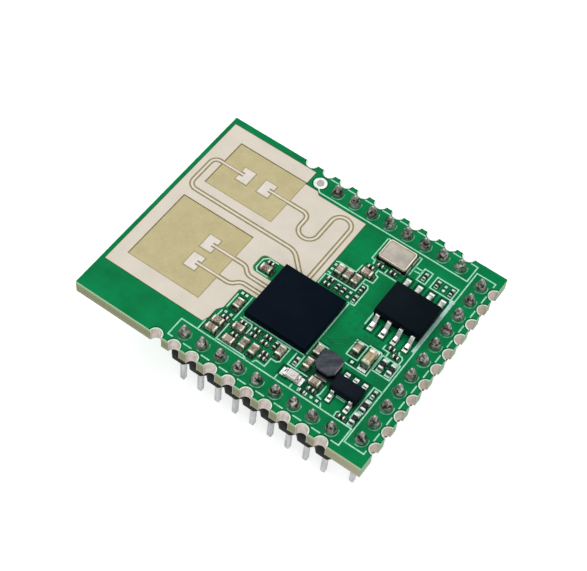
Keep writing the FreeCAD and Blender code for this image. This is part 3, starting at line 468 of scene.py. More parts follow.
def raise_sheet(bm, outlines, low, high):
    """A sheet from one height to another, from its outline and its holes."""
    edges = []
    for points in outlines:
        loop = [bm.verts.new((x, y, low)) for x, y in points]
        edges += [bm.edges.new(pair) for pair in zip(loop, loop[1:] + loop[:1])]
    sheet = bmesh.ops.triangle_fill(bm, use_beauty=True, edges=edges, normal=(0, 0, 1))["geom"]
    draw_out(bm, sheet, (0, 0, high - low))


def sheet_piece(name, sheets, low, high, finish, slot="board_laminate", *replaced):
    bm = bmesh.new()
    for outlines in sheets:
        raise_sheet(bm, outlines, low, high)
    close_piece(name, bm, finish, slot, *replaced)


# %% [markdown]
# Lines, rims and borders are all narrow strips along a route. The route's left side is drawn as
# edges, extruded to its right side, and the strip is then raised to its thickness. At a corner both
# sides are shifted along the mitre, so that the strip keeps its width.

# %% Strips along a route


def strip(bm, points, left, right, low, high, closed=False):
    """A strip from left to right of a route of straight runs, mitred at its corners."""
    spots = [Vector((x, y, low)) for x, y in points]
    count = len(spots)
    mitres = []
    for k, spot in enumerate(spots):
        before = spots[k - 1] if closed or k else None
        after = spots[(k + 1) % count] if closed or k < count - 1 else None
        runs = [(b - a).normalized() for a, b in ((before, spot), (spot, after)) if a and b]
        lefts = [Vector((-run.y, run.x, 0)) for run in runs]
        mitre = sum(lefts, Vector()).normalized()
        mitres.append(mitre / mitre.dot(lefts[0]))
    side = [bm.verts.new(spot + left * mitre) for spot, mitre in zip(spots, mitres)]
    edges = [bm.edges.new(pair) for pair in zip(side, side[1:] + (side[:1] if closed else []))]
    drawn = bmesh.ops.extrude_edge_only(bm, edges=edges)["geom"]
    mitre_at = {tuple(vert.co): mitre for vert, mitre in zip(side, mitres)}
    for vert in [item for item in drawn if isinstance(item, bmesh.types.BMVert)]:
        vert.co += (right - left) * mitre_at[tuple(vert.co)]
    draw_out(bm, drawn, (0, 0, high - low))


def strip_piece(name, routes, left, right, low, high, finish, slot="board_laminate", closed=False):
    bm = bmesh.new()
    for points in routes:
        strip(bm, points, left, right, low, high, closed)
    close_piece(name, bm, finish, slot)


def outlines_of(node, low, high):
    """The closed rows of points round a node's flat faces between two heights. Round an underside
    they run with the faces on their left."""
    bm = merged_copy(node)
    others = [face for face in bm.faces if not low < face.calc_center_median().z < high]
    bmesh.ops.delete(bm, geom=others, context="FACES")
    waiting = [edge for edge in bm.edges if len(edge.link_faces) == 1]
    loops = []
    while waiting:
        corner = waiting.pop(0).link_loops[0]
        first, vert = corner.link_loop_next.vert, corner.vert
        points = [vert.co.xy.copy()]
        while vert is not first:
            onward = next(edge for edge in vert.link_edges if edge in waiting)
            waiting.remove(onward)
            vert = onward.other_vert(vert)
            points.append(vert.co.xy.copy())
        loops.append(points)
    bm.free()
    return loops


# %% [markdown]
# Half holes are drilled on the board's outline before it is cut from its panel, which leaves a
# row of scallops. The outline is drawn once, as straight runs with an arc at each scallop, and
# serves the board, and with a wider arc also its lacquer.

# %% The board's outline
MASK = 0.03
FOIL = 0.035
BORE = 0.57
PLATING = 0.035
STEPS = 14
HOLE = 0.42
front_bores = [centre(box).x for box in solids("castellated_pads_front")]
right_bores = [centre(box).y for box in solids("castellated_pads_right")]


def board_outline(bite, inset=0.0):
    """The board's outline with a round bite at each half hole, drawn anticlockwise."""
    turn = math.degrees(math.asin(inset / bite))
    points = [(inset, inset)]
    for x in front_bores:
        points += arc(x, 0, bite, 180 - turn, turn, STEPS)
    points.append((LENGTH - inset, inset))
    for y in right_bores:
        points += arc(LENGTH, y, bite, 270 - turn, 90 + turn, STEPS)
    points.append((LENGTH - inset, WIDTH - inset))
    for x in reversed(front_bores):
        points += arc(x, WIDTH, bite, -turn, turn - 180, STEPS)
    points.append((inset, WIDTH - inset))
    return points


pin_spots = {row: [centre(box) for box in solids(f"header_pins_{row}")]
             for row in ("front", "back", "right")}
all_pins = [spot for spots in pin_spots.values() for spot in spots]
flush_spot = centre(solids("flush_solder_joint")[0])
print("half holes:", 2 * len(front_bores) + len(right_bores), " pins:", len(all_pins))

# %% The laminate
pin_holes = [ring(spot.x, spot.y, HOLE, 12) for spot in all_pins]
sheet_piece("board_core", [[board_outline(BORE + PLATING)] + pin_holes], MASK - THICKNESS, 0,
            "board_laminate", "board_laminate", "circuit_board")

# %% [markdown]
# Small parts are soldered to lands: rectangles of tinned copper a little larger than the part's
# metal ends. Each end has a body beside it, and its land reaches out on the side away from that
# body. How far it reaches, and which finishes a part takes, goes by its family.

# %% Lands of the small parts
# family: how far its land and its solder slope reach, its body's finish and slot, and the finishes
# of its ends and its lands
FAMILIES = {
    "output_capacitor": (0.5, 0.24, "ochre_ceramic", "output_ceramic", "end_metal", "bright_end"),
    "capacitor": (0.22, 0.2, "brown_ceramic", "capacitor_ceramic", "end_metal", "solder_green_reflection"),
    "resistor": (0.28, 0.1, "resistor_glaze", "resistor_film", "bright_end", "mint_land"),
    "small_capacitor": (0.15, 0.11, "dark_ceramic", "capacitor_ceramic", "bright_end",
                        "solder_green_reflection"),
    "small_resistor": (0.17, 0.07, "resistor_glaze", "resistor_film", "bright_end", "mint_land"),
}
FLANK = 0.03


def ends_of(family):
    """Each metal end of a family's parts, with the direction that points away from its body."""
    bodies = [centre(box) for box in solids(f"{family}_bodies")]
    found = []
    for box in solids(f"{family}_terminals"):
        middle = centre(box)
        away = middle - min(bodies, key=lambda spot: (spot - middle).length)
        share = away.xy.length
        found.append((box, Vector((round(away.x / share), round(away.y / share), 0))))
    return found


def flat(box):
    return box[0].x, box[0].y, box[1].x, box[1].y


def land_under(box, direction, toe, flank):
    """The land's corners (left, front, right, back) under one metal end."""
    left, front, right, back = flat(box)
    x, y = direction.x * toe, direction.y * toe
    return (left - flank + min(0, x), front - flank + min(0, y),
            right + flank + max(0, x), back + flank + max(0, y))


ends = {family: ends_of(family) for family in FAMILIES}
family_lands = {family: [land_under(*end, FAMILIES[family][0], FLANK) for end in found]
                for family, found in ends.items()}
print("metal ends:", sum(map(len, family_lands.values())))

# %% Lands of the chips and the lamp
LEAD_TOE = {"memory": 0.36, "regulator": 0.34}
LAMP_TOE = 0.3
LEAD_FOOT, LEAD_THICK, LEAD_FLANK = 0.5, 0.2, 0.04
lead_ends = []
chip_lands = []
for name, toe in LEAD_TOE.items():
    middle_y = (TO_BOARD @ centre(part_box(f"{name}_body"))).y
    for low, high in solids(f"{name}_leads"):
        outward = Vector((0, 1 if centre((low, high)).y > middle_y else -1, 0))
        lead_ends.append(((low.xyz, Vector((high.x, high.y, LEAD_THICK))), outward))
        if outward.y > 0:
            low.y = high.y - LEAD_FOOT
        else:
            high.y = low.y + LEAD_FOOT
        chip_lands.append(land_under((low, high), outward, toe, LEAD_FLANK))
lamp_middle = TO_BOARD @ centre(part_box("indicator_lamp_body"))
for box in solids("indicator_lamp_terminals"):
    side = 1 if centre(box).x > lamp_middle.x else -1
    chip_lands.append(land_under(box, Vector((side, 0, 0)), LAMP_TOE, FLANK))
chip_lands += [flat(box) for box in solids("power_inductor_terminals")]
lands = sum(family_lands.values(), []) + chip_lands
print("lands:", len(lands))

# %% [markdown]
# The lacquer has an opening round each land, a hair larger than the land. Openings that would run
# into each other are made as one, as a board maker's tools do.

# %% Openings in the mask
GAP = 0.05


def joined(boxes):
    """Boxes with each overlapping pair replaced by the box round both."""
    for a, b in combinations(boxes, 2):
        if a[0] <= b[2] and b[0] <= a[2] and a[1] <= b[3] and b[1] <= a[3]:
            both = (min(a[0], b[0]), min(a[1], b[1]), max(a[2], b[2]), max(a[3], b[3]))
            return joined([box for box in boxes if box not in (a, b)] + [both])
    return boxes


pads = [flat(box) for box in solids("bare_pads")]
openings = joined([(a - GAP, b - GAP, c + GAP, d + GAP) for a, b, c, d in lands + pads])
print("openings:", len(openings), "of", len(lands + pads))

# %% The antenna opening and its island
chip_low, chip_high = (TO_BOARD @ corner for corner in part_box("radar_chip"))
copper_low, copper_high = (TO_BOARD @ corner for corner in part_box("antenna_ground_plane"))
SHELF_Y = WIDTH - 2.55
ANTENNA_OPENING = [
    (copper_low.x, copper_low.y), (11.7, copper_low.y), (11.95, 4.4), (11.95, 5.4), (12.35, 6.0),
    (12.35, 8.4), (12.55, 8.6), (chip_low.x, 8.6), (chip_low.x, chip_high.y),
    (copper_high.x, chip_high.y), (copper_high.x, SHELF_Y - 0.35), (11.95, SHELF_Y - 0.35),
    (11.6, SHELF_Y), (10.2, SHELF_Y), (10.2, copper_high.y), (copper_low.x, copper_high.y),
]
ISLAND = ([(chip_low.x, 13.0), (chip_low.x, 10.99)] + arc(12.37, 11.54, 0.55, 270, 180, 5)
          + arc(12.37, 12.45, 0.55, 180, 90, 5))
print("antenna opening:", len(ANTENNA_OPENING), "corners")

# %% The solder mask
LAND_RIM = 0.66
PIN_LAND = 0.64
EDGE = 0.02
in_island = [o for o in openings if 11.8 < o[0] < 14.0 and 11.0 < o[1] < 13.0]
outside = [o for o in openings if o not in in_island]
pin_openings = [ring(spot.x, spot.y, PIN_LAND + 0.01) for spot in all_pins]
pin_openings.append(ring(flush_spot.x, flush_spot.y, 0.6))
lacquered = [board_outline(LAND_RIM + 0.04, EDGE)]
lacquer = lacquered + [ANTENNA_OPENING] + pin_openings + [rectangle(*o) for o in outside]
island = [ISLAND] + [rectangle(*o) for o in in_island]
sheet_piece("solder_mask_top", [lacquer, island], 0, MASK, "mask_green")
sheet_piece("solder_mask_bottom", [lacquered + pin_openings], -THICKNESS, MASK - THICKNESS,
            "mask_green")

# %% [markdown]
# The lacquer looks much darker round every land, partly where the copper plane keeps a clear gap to
# it and partly as painted shade round parts and pads. These dark borders are thin frames on the
# mask, and thin floors show the same painted shade inside the openings. A pale line along the outer
# edge, where the lacquer ends, is a painted highlight. The antenna area has a floor of bare
# laminate.

# %% Dark borders and floors
CLEAR = 0.2
WINDOW_RIM = 0.06
RIM_INSET = 0.035
HALF_RIM = 0.03
BORE_ROOM = 0.75
LIFT = 0.003
FLOOR = (-0.004, 0.0015)


def room_round(box):
    """Half the way from an opening to the nearest other one, and no more than the clearance."""
    a, b, c, d = box
    gaps = [max(o[0] - c, a - o[2], o[1] - d, b - o[3]) for o in openings if o != box]
    return min([CLEAR] + [gap / 2 for gap in gaps])


bm = bmesh.new()
for a, b, c, d in openings:
    room = room_round((a, b, c, d))
    if room > 0.01:
        raise_sheet(bm, [rectangle(a - room, b - room, c + room, d + room), rectangle(a, b, c, d)],
                    MASK, MASK + LIFT)
# painted shade along the edge of the antenna opening
strip(bm, ANTENNA_OPENING, 0, -WINDOW_RIM, MASK, MASK + LIFT - 0.001, closed=True)
close_piece("dark_borders", bm, "mask_dark")
sheet_piece("opening_floors", [[rectangle(*opening)] for opening in openings], *FLOOR, "mask_dark")
back = WIDTH - RIM_INSET
rims = [[(RIM_INSET, 0.1), (RIM_INSET, back), (front_bores[0] - BORE_ROOM, back)],
        [(front_bores[-1] + BORE_ROOM, back), (LENGTH - 0.1, back)]]
strip_piece("pale_board_rims", rims, HALF_RIM, -HALF_RIM, MASK, MASK + LIFT, "mask_highlight")
sheet_piece("bare_laminate_floor", [[ANTENNA_OPENING]], *FLOOR, "bare_laminate")

# %% [markdown]
# Each half hole is a plated tube cut in two: a thin wall, with a flat rim on the top and on the
# underside of the board. Small sections spun through half a turn make the wall, the rims, and a
# dark border of painted shade on the mask beyond the rim.

# %% Plated half holes


def part_turn(bm, x, y, section, start, angle, steps):
    """A section, as pairs of radius and height, spun through part of a turn; angles in degrees."""
    cos, sin = math.cos(math.radians(start)), math.sin(math.radians(start))
    verts = [bm.verts.new((x + r * cos, y + r * sin, z)) for r, z in section]
    bmesh.ops.spin(bm, geom=[bm.faces.new(verts)], cent=(x, y, 0), axis=(0, 0, 1),
                   angle=math.radians(angle), steps=steps)


def band(inner, outer, low, high):
    return [(inner, low), (outer, low), (outer, high), (inner, high)]


WALL = BORE + PLATING
RIM = [(BORE, -0.02), (WALL, -0.02), (WALL, 0), (LAND_RIM, 0), (LAND_RIM - 0.01, FOIL - 0.01),
       (LAND_RIM - 0.03, FOIL), (BORE + 0.02, FOIL), (BORE, FOIL - 0.015)]
EDGES = {
    "front": [(x, 0, 0) for x in front_bores],
    "back": [(x, WIDTH, 180) for x in front_bores],
    "right": [(LENGTH, y, 90) for y in right_bores],
}
SECTIONS = {
    "walls": ([band(BORE, WALL, FOIL + 0.02 - THICKNESS, -0.02)], "edge_plating", "edge_plating"),
    "rims": ([RIM, [(r, FOIL - THICKNESS - z) for r, z in reversed(RIM)]], "rim_metal",
             "edge_plating"),
    # the dark border is painted shade on the mask
    "borders": ([band(LAND_RIM + 0.04, LAND_RIM + 0.13, MASK, MASK + LIFT)], "mask_dark",
                "board_laminate"),
}
for edge, places in EDGES.items():
    for name, (sections, finish, slot) in SECTIONS.items():
        bm = bmesh.new()
        for x, y, turn in places:
            for section in sections:
                part_turn(bm, x, y, section, turn, 180, 2 * STEPS)
        replaced = [f"castellated_pads_{edge}"] if name == "walls" else []
        close_piece(f"half_hole_{name}_{edge}", bm, finish, slot, *replaced)

# %% [markdown]
# Pins stand in round lands, painted dark green as shade at the foot of each joint, and the solder
# climbs each pin as a hollow cone. It never freezes the same way twice, so each cone is spun from
# one section and then pushed in and out by a noise that differs from joint to joint. Beside each
# land the lacquer swells to a bead, coloured light on its lower right only, as a painted highlight.

# %% Pin lands and solder joints
JOINT = [(0.24, 0.02), (0.55, 0.03), (0.54, 0.05), (0.5, 0.12), (0.47, 0.26), (0.44, 0.42),
         (0.41, 0.58), (0.37, 0.74), (0.32, 0.86), (0.24, 0.94)]
UNEVEN = 0.18
UNEVEN_PER_MM = 2.6
BEAD_FROM, BEAD_TURN, BEAD_LEAN = -105, 140, 20
BEAD = [(0.65, MASK), (0.76, MASK), (0.74, MASK + 0.03), (0.66, MASK + 0.03)]


def spun_ring(bm, x, y, section, steps):
    """A closed section, as pairs of radius and height, spun once round a point."""
    verts = [bm.verts.new((x + r, y, z)) for r, z in section]
    edges = [bm.edges.new(pair) for pair in zip(verts, verts[1:] + verts[:1])]
    bmesh.ops.spin(bm, geom=verts + edges, cent=(x, y, 0), axis=(0, 0, 1), angle=2 * math.pi,
                   steps=steps, use_merge=True)


def ring_piece(name, spots, section, steps, finish, slot="board_laminate"):
    bm = bmesh.new()
    for x, y in spots:
        spun_ring(bm, x, y, section, steps)
    close_piece(name, bm, finish, slot)


for row, spots in pin_spots.items():
    bm = bmesh.new()
    for spot in spots:
        before = len(bm.verts)
        spun_ring(bm, spot.x, spot.y, JOINT, 16)
        bm.verts.ensure_lookup_table()
        for vert in bm.verts[before:]:
            out = vert.co - Vector((spot.x, spot.y, vert.co.z))
            push = noise.noise(vert.co * UNEVEN_PER_MM + Vector((spot.x, spot.y, 3 * spot.x)))
            vert.co += out * push * UNEVEN * 2 * min(1, vert.co.z * 4)
            vert.co.z *= 1 + UNEVEN * noise.noise(Vector((spot.x, spot.y, 7.0)))
    close_piece(f"solder_cones_{row}", bm, "solder_metal", "solder", f"solder_joints_{row}")

# The light-green bead arcs on the lower right are a painted highlight.
bm = bmesh.new()
for spot in all_pins:
    lean = BEAD_LEAN * noise.noise(Vector((spot.x, spot.y, 1.0)))
    part_turn(bm, spot.x, spot.y, BEAD, lean + BEAD_FROM, BEAD_TURN, STEPS)
close_piece("mask_beads", bm, "mask_highlight")
# The dark green lands are painted shade at the foot of each joint.
ring_piece("pin_lands", [spot.xy for spot in all_pins], band(HOLE, PIN_LAND, 0, FOIL), 20,
           "land_foot_shade", "tinned_pad")

# %% [markdown]
# Etching leaves a dark trace beside the foil, and the narrow slots between foils lie in shade. A
# dark strip, partly that trace and partly painted shade, follows the foot of each foil, half of it
# hidden under the foil. The plating on top stops just short of the foil's edge, and a narrow olive
# border shows there. The two large windows carry a painted shadow of the foil along two sides.

# %% Rims along the foil
ETCH_SHADE = 0.054
BARE = 0.045
SHADE = 0.07
FOILS = ("antenna_ground_plane", "transmit_antenna_outer", "transmit_antenna_inner",
         "receive_antenna_back", "receive_antenna_front")
WINDOWS = ((2.35, 16.4, 10.15, 22.33), (1.75, 5.4, 9.9, 13.95))
foil_outlines = [points for node in FOILS for points in outlines_of(node, -0.001, 0.001)]
# rims partly from etching and partly painted shade
strip_piece("etched_shade_rims", foil_outlines, ETCH_SHADE, -ETCH_SHADE, 0.003, 0.008, "etched_edge_shade", closed=True)
strip_piece("foil_borders", foil_outlines, BARE, 0, FOIL - 0.005, FOIL + 0.002, "foil_edge",
            "ground_copper", True)
# painted shadow of the foil along the windows' back and left sides
strip_piece("window_shades",
            [[(left, front), (left, back), (right, back)] for left, front, right, back in WINDOWS],
            0.0, -SHADE, 0.004, 0.01, "trench_shade")
print("foil outlines:", len(foil_outlines))

# %% [markdown]
# Moulded, fired and stamped parts have no knife edges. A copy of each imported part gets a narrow
# bevel, which is what catches the light on the real ones, and the copy stands in for the part.

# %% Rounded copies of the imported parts
CORNER_ANGLE = math.radians(25)


def round_edges(bm, edges, width, segments=2):
    bmesh.ops.bevel(bm, geom=edges, offset=width, offset_type="OFFSET", segments=segments,
                    profile=0.5, affect="EDGES", clamp_overlap=True, material=-1)


# the node, the width of its bevel, its finish and slot, and the steps across the bevel if not two
ROUNDED = []
for family, (_, _, body_finish, slot, end_finish, _) in FAMILIES.items():
    ROUNDED += [(f"{family}_bodies", 0.02, body_finish, slot, 1),
                (f"{family}_terminals", 0.035, end_finish, "terminal_metal")]
ROUNDED += [
    ("radar_chip", 0.012, "radar_resin", "radar_plastic"),
    ("memory_body", 0.05, "memory_resin", "memory_plastic"),
    ("memory_leads", 0.03, "lead_metal", "lead_metal"),
    ("regulator_body", 0.05, "regulator_resin", "regulator_plastic"),
    ("regulator_leads", 0.025, "lead_metal", "lead_metal"),
    ("power_inductor_core", 0.04, "ferrite", "ferrite"),
    ("crystal_base", 0.03, "tray_ceramic", "crystal_ceramic"),
    ("crystal_lid", 0.025, "lid_metal", "crystal_metal"),
    ("indicator_lamp_body", 0.04, "lamp_white", "lamp_plastic"),
    ("indicator_lamp_terminals", 0.03, "tinned", "terminal_metal"),
]
for row in pin_spots:
    ROUNDED += [(f"header_pins_{row}", 0.07, "pin_metal", "pin_metal"),
                (f"header_body_{row}", 0.06, "header_plastic", "header_plastic")]
ROUNDED.append(("trimmed_header_pin", 0.07, "pin_metal", "pin_metal"))
for node, width, finish, slot, *segments in ROUNDED:
    bm = merged_copy(node)
    sharp = [e for e in bm.edges if len(e.link_faces) == 2 and e.calc_face_angle() > CORNER_ANGLE]
    round_edges(bm, sharp, width, *segments)
    close_piece(f"rounded_{node}", bm, finish, slot, node)

# %% [markdown]
# Solder wets a part's metal end and its land, and pulls into a hollow slope between the two. Each
# slope is a small section, drawn with its hollow side and drawn out along the width of the end. The
# dark green of the slopes, and of the capacitors' lands, is a painted reflection of the board and
# painted shade.

# %% Lands and solder fillets
# the capacitors' lands take the painted reflection and shade of the solder
for family, found in family_lands.items():
    sheet_piece(f"{family}_lands", [[rectangle(*land)] for land in found], 0, FOIL,
                FAMILIES[family][-1], "tinned_pad")
sheet_piece("chip_lands", [[rectangle(*land)] for land in chip_lands], 0, FOIL, "bright_end",
            "tinned_pad")
SLOPE_STEPS = 4
INSIDE = 0.03
TOE_THICK = 0.01
PART_CLIMB = 0.75
LEAD_SLOPE, LEAD_CLIMB = 0.14, 0.8


def fillet_at(bm, box, direction, toe, climb):
    """A hollow slope of solder from a metal end down to the tip of its land."""
    low, high = box
    height = (high.z - low.z) * climb
    side = Vector((abs(direction.y), abs(direction.x), 0))
    across = Vector((high.x - low.x, high.y - low.y, 0)).dot(side) - INSIDE
    start = Vector((high.x if direction.x > 0 else low.x, high.y if direction.y > 0 else low.y, 0))
    start += side * INSIDE / 2
    profile = [(-INSIDE, FOIL), (-INSIDE, height)]
    for k in range(SLOPE_STEPS + 1):
        turn = math.pi / 2 * k / SLOPE_STEPS
        drop = (height - FOIL) * (1 - math.sin(turn))
        profile.append((toe * (1 - math.cos(turn)), FOIL + TOE_THICK + drop))
    profile.append((toe, FOIL))
    verts = [bm.verts.new(start + direction * u + Vector((0, 0, z))) for u, z in profile]
    draw_out(bm, [bm.faces.new(verts)], side * across)


# The fillets' dark green is painted reflection and shade.
bm = bmesh.new()
for family, found in ends.items():
    for end in found:
        fillet_at(bm, *end, FAMILIES[family][1], PART_CLIMB)
close_piece("part_fillets", bm, "solder_green_reflection", "terminal_metal")
bm = bmesh.new()
for end in lead_ends:
    fillet_at(bm, *end, LEAD_SLOPE, LEAD_CLIMB)
close_piece("lead_fillets", bm, "solder_green_reflection", "terminal_metal")

# %% [markdown]
# Some parts have finer marks. A light strip along the inductor's right edges is a painted
# highlight.
# The crystal's lid is welded to a gilt ring, with a line of painted shade just inside it, and metal
# shows on the tray's sides. The lamp's two ends are marked.

# %% The inductor's painted edge highlight
HIGHLIGHT_WIDTH, HIGHLIGHT_DEPTH = 0.038, 0.3
core_high = TO_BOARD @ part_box("power_inductor_core")[1]
corners = outlines_of("power_inductor_core", core_high.z - 0.001, core_high.z + 1)[0]
highlight_runs = [sorted(pair, key=lambda spot: spot.y)
             for pair in zip(corners, corners[1:] + corners[:1])
             if min(pair[0].x, pair[1].x) > core_high.x - 0.1]
# a painted highlight along the inductor's right edges
strip_piece("inductor_highlight_edge", highlight_runs, HIGHLIGHT_WIDTH, -0.004, core_high.z - HIGHLIGHT_DEPTH, core_high.z,
            "ferrite_highlight", "ferrite")

# %% The crystal's seal ring and side metal
SEAL = 0.12
LID_CORNER = 0.3
lid_low, lid_high = (TO_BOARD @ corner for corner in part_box("crystal_lid"))
left, right = lid_low.x + LID_CORNER, lid_high.x - LID_CORNER
front, back = lid_low.y + LID_CORNER, lid_high.y - LID_CORNER
turns = ((left, front, 180), (right, front, 270), (right, back, 0), (left, back, 90))
lid_edge = [point for x, y, start in turns for point in arc(x, y, LID_CORNER, start, start + 90, 5)]
top = lid_high.z
strip_piece("crystal_seal_ring", [lid_edge], SEAL + 0.02, 0.03, top - 0.05, top + 0.02,
            "seal_metal", "crystal_metal", True)
# a dark line of painted shade just inside the seal ring
strip_piece("crystal_seal_shade", [lid_edge], SEAL + 0.07, SEAL + 0.02, top - 0.01, top + 0.002,
            "trench_shade", "crystal_metal", True)
# the two ends of each run of metal, and its heights
HALF_METAL = 0.015
SIDE_METAL = [
    ([(23.61, 19.25), (23.61, 20.1)], 0.08, 0.42), ([(23.61, 20.35), (23.61, 21.3)], 0.08, 0.42),
    ([(20.9, 18.99), (21.35, 18.99)], 0.05, 0.2), ([(22.3, 18.99), (23.2, 18.99)], 0.05, 0.2),
]
bm = bmesh.new()
for points, low, high in SIDE_METAL:
    strip(bm, points, HALF_METAL, -HALF_METAL, low, high)
close_piece("crystal_side_metal", bm, "bright_end", "terminal_metal")

# %% The lamp's marks
HALF_MARK = 0.045
MARK_LOW, MARK_HIGH = 0.295, 0.305
LAMP_MARKS = {
    "dark": ([[(20.75, 3.74), (20.79, 4.1)], [(20.94, 3.84), (20.92, 4.14)]], "wall_resin"),
    "red": ([[(22.08, 3.55), (22.2, 3.88)], [(22.24, 3.6), (22.06, 4.0)]], "lamp_mark_red"),
}
for name, (routes, finish) in LAMP_MARKS.items():
    strip_piece(f"lamp_marks_{name}", routes, HALF_MARK, -HALF_MARK, MARK_LOW, MARK_HIGH, finish,
                "lamp_plastic")

# %% [markdown]
# White lines are screened onto the lacquer to show where each part goes, with short dashes between
# the half holes. Each is a thin strip of ink along its route. The bar at the right is thicker.

# %% Printed lines
LINE, WIDE_LINE = 0.13, 0.15
HALF_BAR = 0.15
INK = 0.014
DASH = 0.47
FRONT_DASHES, BACK_DASHES, RIGHT_DASHES = 0.7, WIDTH - 0.58, 30.88


def printed_line(bm, points, width=LINE, closed=False):
    strip(bm, points, width / 2, -width / 2, MASK, MASK + INK, closed)


BOXES = [(24.0, 8.75, 25.2, 10.6), (26.75, 8.75, 28.6, 10.6), (24.7, 19.4, 25.6, 20.9),
         (26.15, 19.4, 28.45, 20.85)]
ROUTES = [
    [(10.62, 0.7), (10.1, 0.7), (10.1, 2.7), (28.65, 2.7), (28.65, 0.7), (27.82, 0.7)],
    [(11.45, 22.5), (11.8, 22.14), (28.55, 22.14), (28.55, 24.12), (27.78, 24.12)],
    [(30.88, 1.72), (30.88, 1.3), (28.85, 1.3), (28.85, 23.5), (30.88, 23.5), (30.88, 23.02)],
    [(21.2, 4.8), (21.2, 6.3)], [(14.4, 6.3), (21.1, 6.3)], [(21.2, 6.5), (21.2, 13.4)],
    [(11.87, 2.8), (11.87, 3.95)], [(13.8, 2.8), (13.8, 4.9)], [(13.85, 5.4), (13.85, 8.5)],
    [(12.55, 6.2), (12.55, 8.0)], [(12.4, 5.0), (12.45, 5.7)],
    [(13.9, 2.95), (16.8, 2.95), (17.2, 2.75)],
    [(14.2, 6.05), (15.5, 6.05), (15.65, 5.8), (15.65, 4.95)],
    [(18.3, 6.05), (19.75, 6.1), (19.75, 4.4), (19.5, 4.2), (18.95, 4.2), (18.95, 3.2),
     (18.0, 3.25), (17.8, 2.9)],
    [(20.45, 6.1), (20.45, 4.65), (22.6, 4.65)], [(21.2, 8.25), (22.5, 8.2)],
    [(24.5, 4.9), (24.5, 3.9), (24.35, 3.6), (24.9, 3.5)],
    [(25.2, 10.75), (26.5, 10.75), (26.65, 10.6), (26.7, 7.9), (24.4, 7.9)],
    [(26.35, 11.7), (26.35, 11.2), (27.0, 11.2), (27.0, 10.6)],
    [(27.75, 11.8), (27.9, 11.5), (28.2, 11.5), (28.4, 11.3), (28.4, 10.6)],
    [(27.95, 3.5), (27.95, 7.35), (28.85, 7.35)], [(25.05, 3.2), (25.3, 2.75)],
    [(26.7, 2.75), (26.65, 3.3), (26.85, 3.5)], [(25.7, 4.72), (26.9, 4.72)],
    [(20.05, 21.7), (20.05, 18.9), (20.45, 18.8), (20.5, 18.4)],
    [(23.4, 21.7), (23.85, 21.7), (23.85, 19.4)],
    [(21.3, 17.6), (21.3, 18.05), (23.3, 18.05)], [(21.95, 18.05), (21.95, 18.7)],
    [(21.3, 17.55), (21.7, 17.4), (21.7, 16.55), (20.9, 16.5), (20.85, 14.85), (17.7, 14.8)],
    [(17.6, 16.5), (17.95, 16.65), (19.75, 16.65), (19.82, 17.7)],
    [(17.6, 15.1), (17.93, 15.1), (17.93, 14.86)], [(20.35, 2.8), (20.35, 3.25)],
    [(21.95, 2.8), (21.95, 3.25)],
    [(20.9, 16.0), (21.5, 16.0), (21.7, 15.7), (21.7, 13.45), (21.0, 13.4)],
    [(17.6, 13.5), (17.6, 14.8)],
    [(13.6, 12.9), (12.5, 12.9), (12.1, 12.5), (12.1, 11.4), (12.4, 11.1), (13.6, 11.1)],
    [(25.75, 4.54), (26.7, 4.54)], [(20.05, 21.72), (20.36, 21.72)],
    [(23.95, 20.56), (24.7, 20.56)], [(24.0, 20.1), (24.7, 20.16)],
]
bm = bmesh.new()
for box in BOXES:
    printed_line(bm, rectangle(*box), closed=True)
for route in ROUTES:
    printed_line(bm, route)
for x, after in zip(front_bores[1:], front_bores[2:]):
    middle = (x + after) / 2
    for y in (FRONT_DASHES, BACK_DASHES):
        printed_line(bm, [(middle - DASH, y), (middle + DASH, y)])
for y, after in zip(right_bores, right_bores[1:]):
    middle = (y + after) / 2
    printed_line(bm, [(RIGHT_DASHES, middle - DASH), (RIGHT_DASHES, middle + DASH)])
printed_line(bm, [(23.57, 12.4), (23.57, 14.0)], WIDE_LINE)
close_piece("printed_lines", bm, "silk_white")

bm = bmesh.new()
strip(bm, [(28.7, 12.5), (28.7, 19.05)], HALF_BAR, -HALF_BAR, MASK + INK, MASK + 2 * INK)
raise_sheet(bm, [ring(28.7, 19.25, 0.27)], MASK + INK, MASK + 2.5 * INK)
close_piece("printed_bar", bm, "silk_thick")

# %% [markdown]
# The back row's first pin is cut flush, so that joint is a low dome in a bright ring, with a dark
# border round it, partly the copper gap and partly painted shade.

# %% The flush pin
FLUSH = [flush_spot.xy]
ring_piece("pin_one_ring", FLUSH, band(0.39, 0.68, MASK - 0.02, FOIL + 0.01), 32, "bright_end",
           "tinned_pad")
# A dark border, partly the copper gap and partly painted shade.
ring_piece("pin_one_border", FLUSH, band(0.69, 0.8, MASK, MASK + LIFT), 32, "mask_dark")
bm = bmesh.new()
dome = bmesh.ops.create_cone(bm, cap_ends=True, segments=24, radius1=0.41, radius2=0.34, depth=0.06)
bmesh.ops.translate(bm, vec=(flush_spot.x, flush_spot.y, FOIL), verts=dome["verts"])
rim = [edge for edge in bm.edges
       if edge.calc_length() < 0.2 and min(vert.co.z for vert in edge.verts) > 0.03]
round_edges(bm, rim, 0.02)
close_piece("pin_one_joint", bm, "lid_metal", "solder", "flush_solder_joint")

# %% [markdown]
# Copper traces run on under the lacquer, which follows them, so they show as faint ridges. Small
# round ones are the filled holes that join the copper layers.

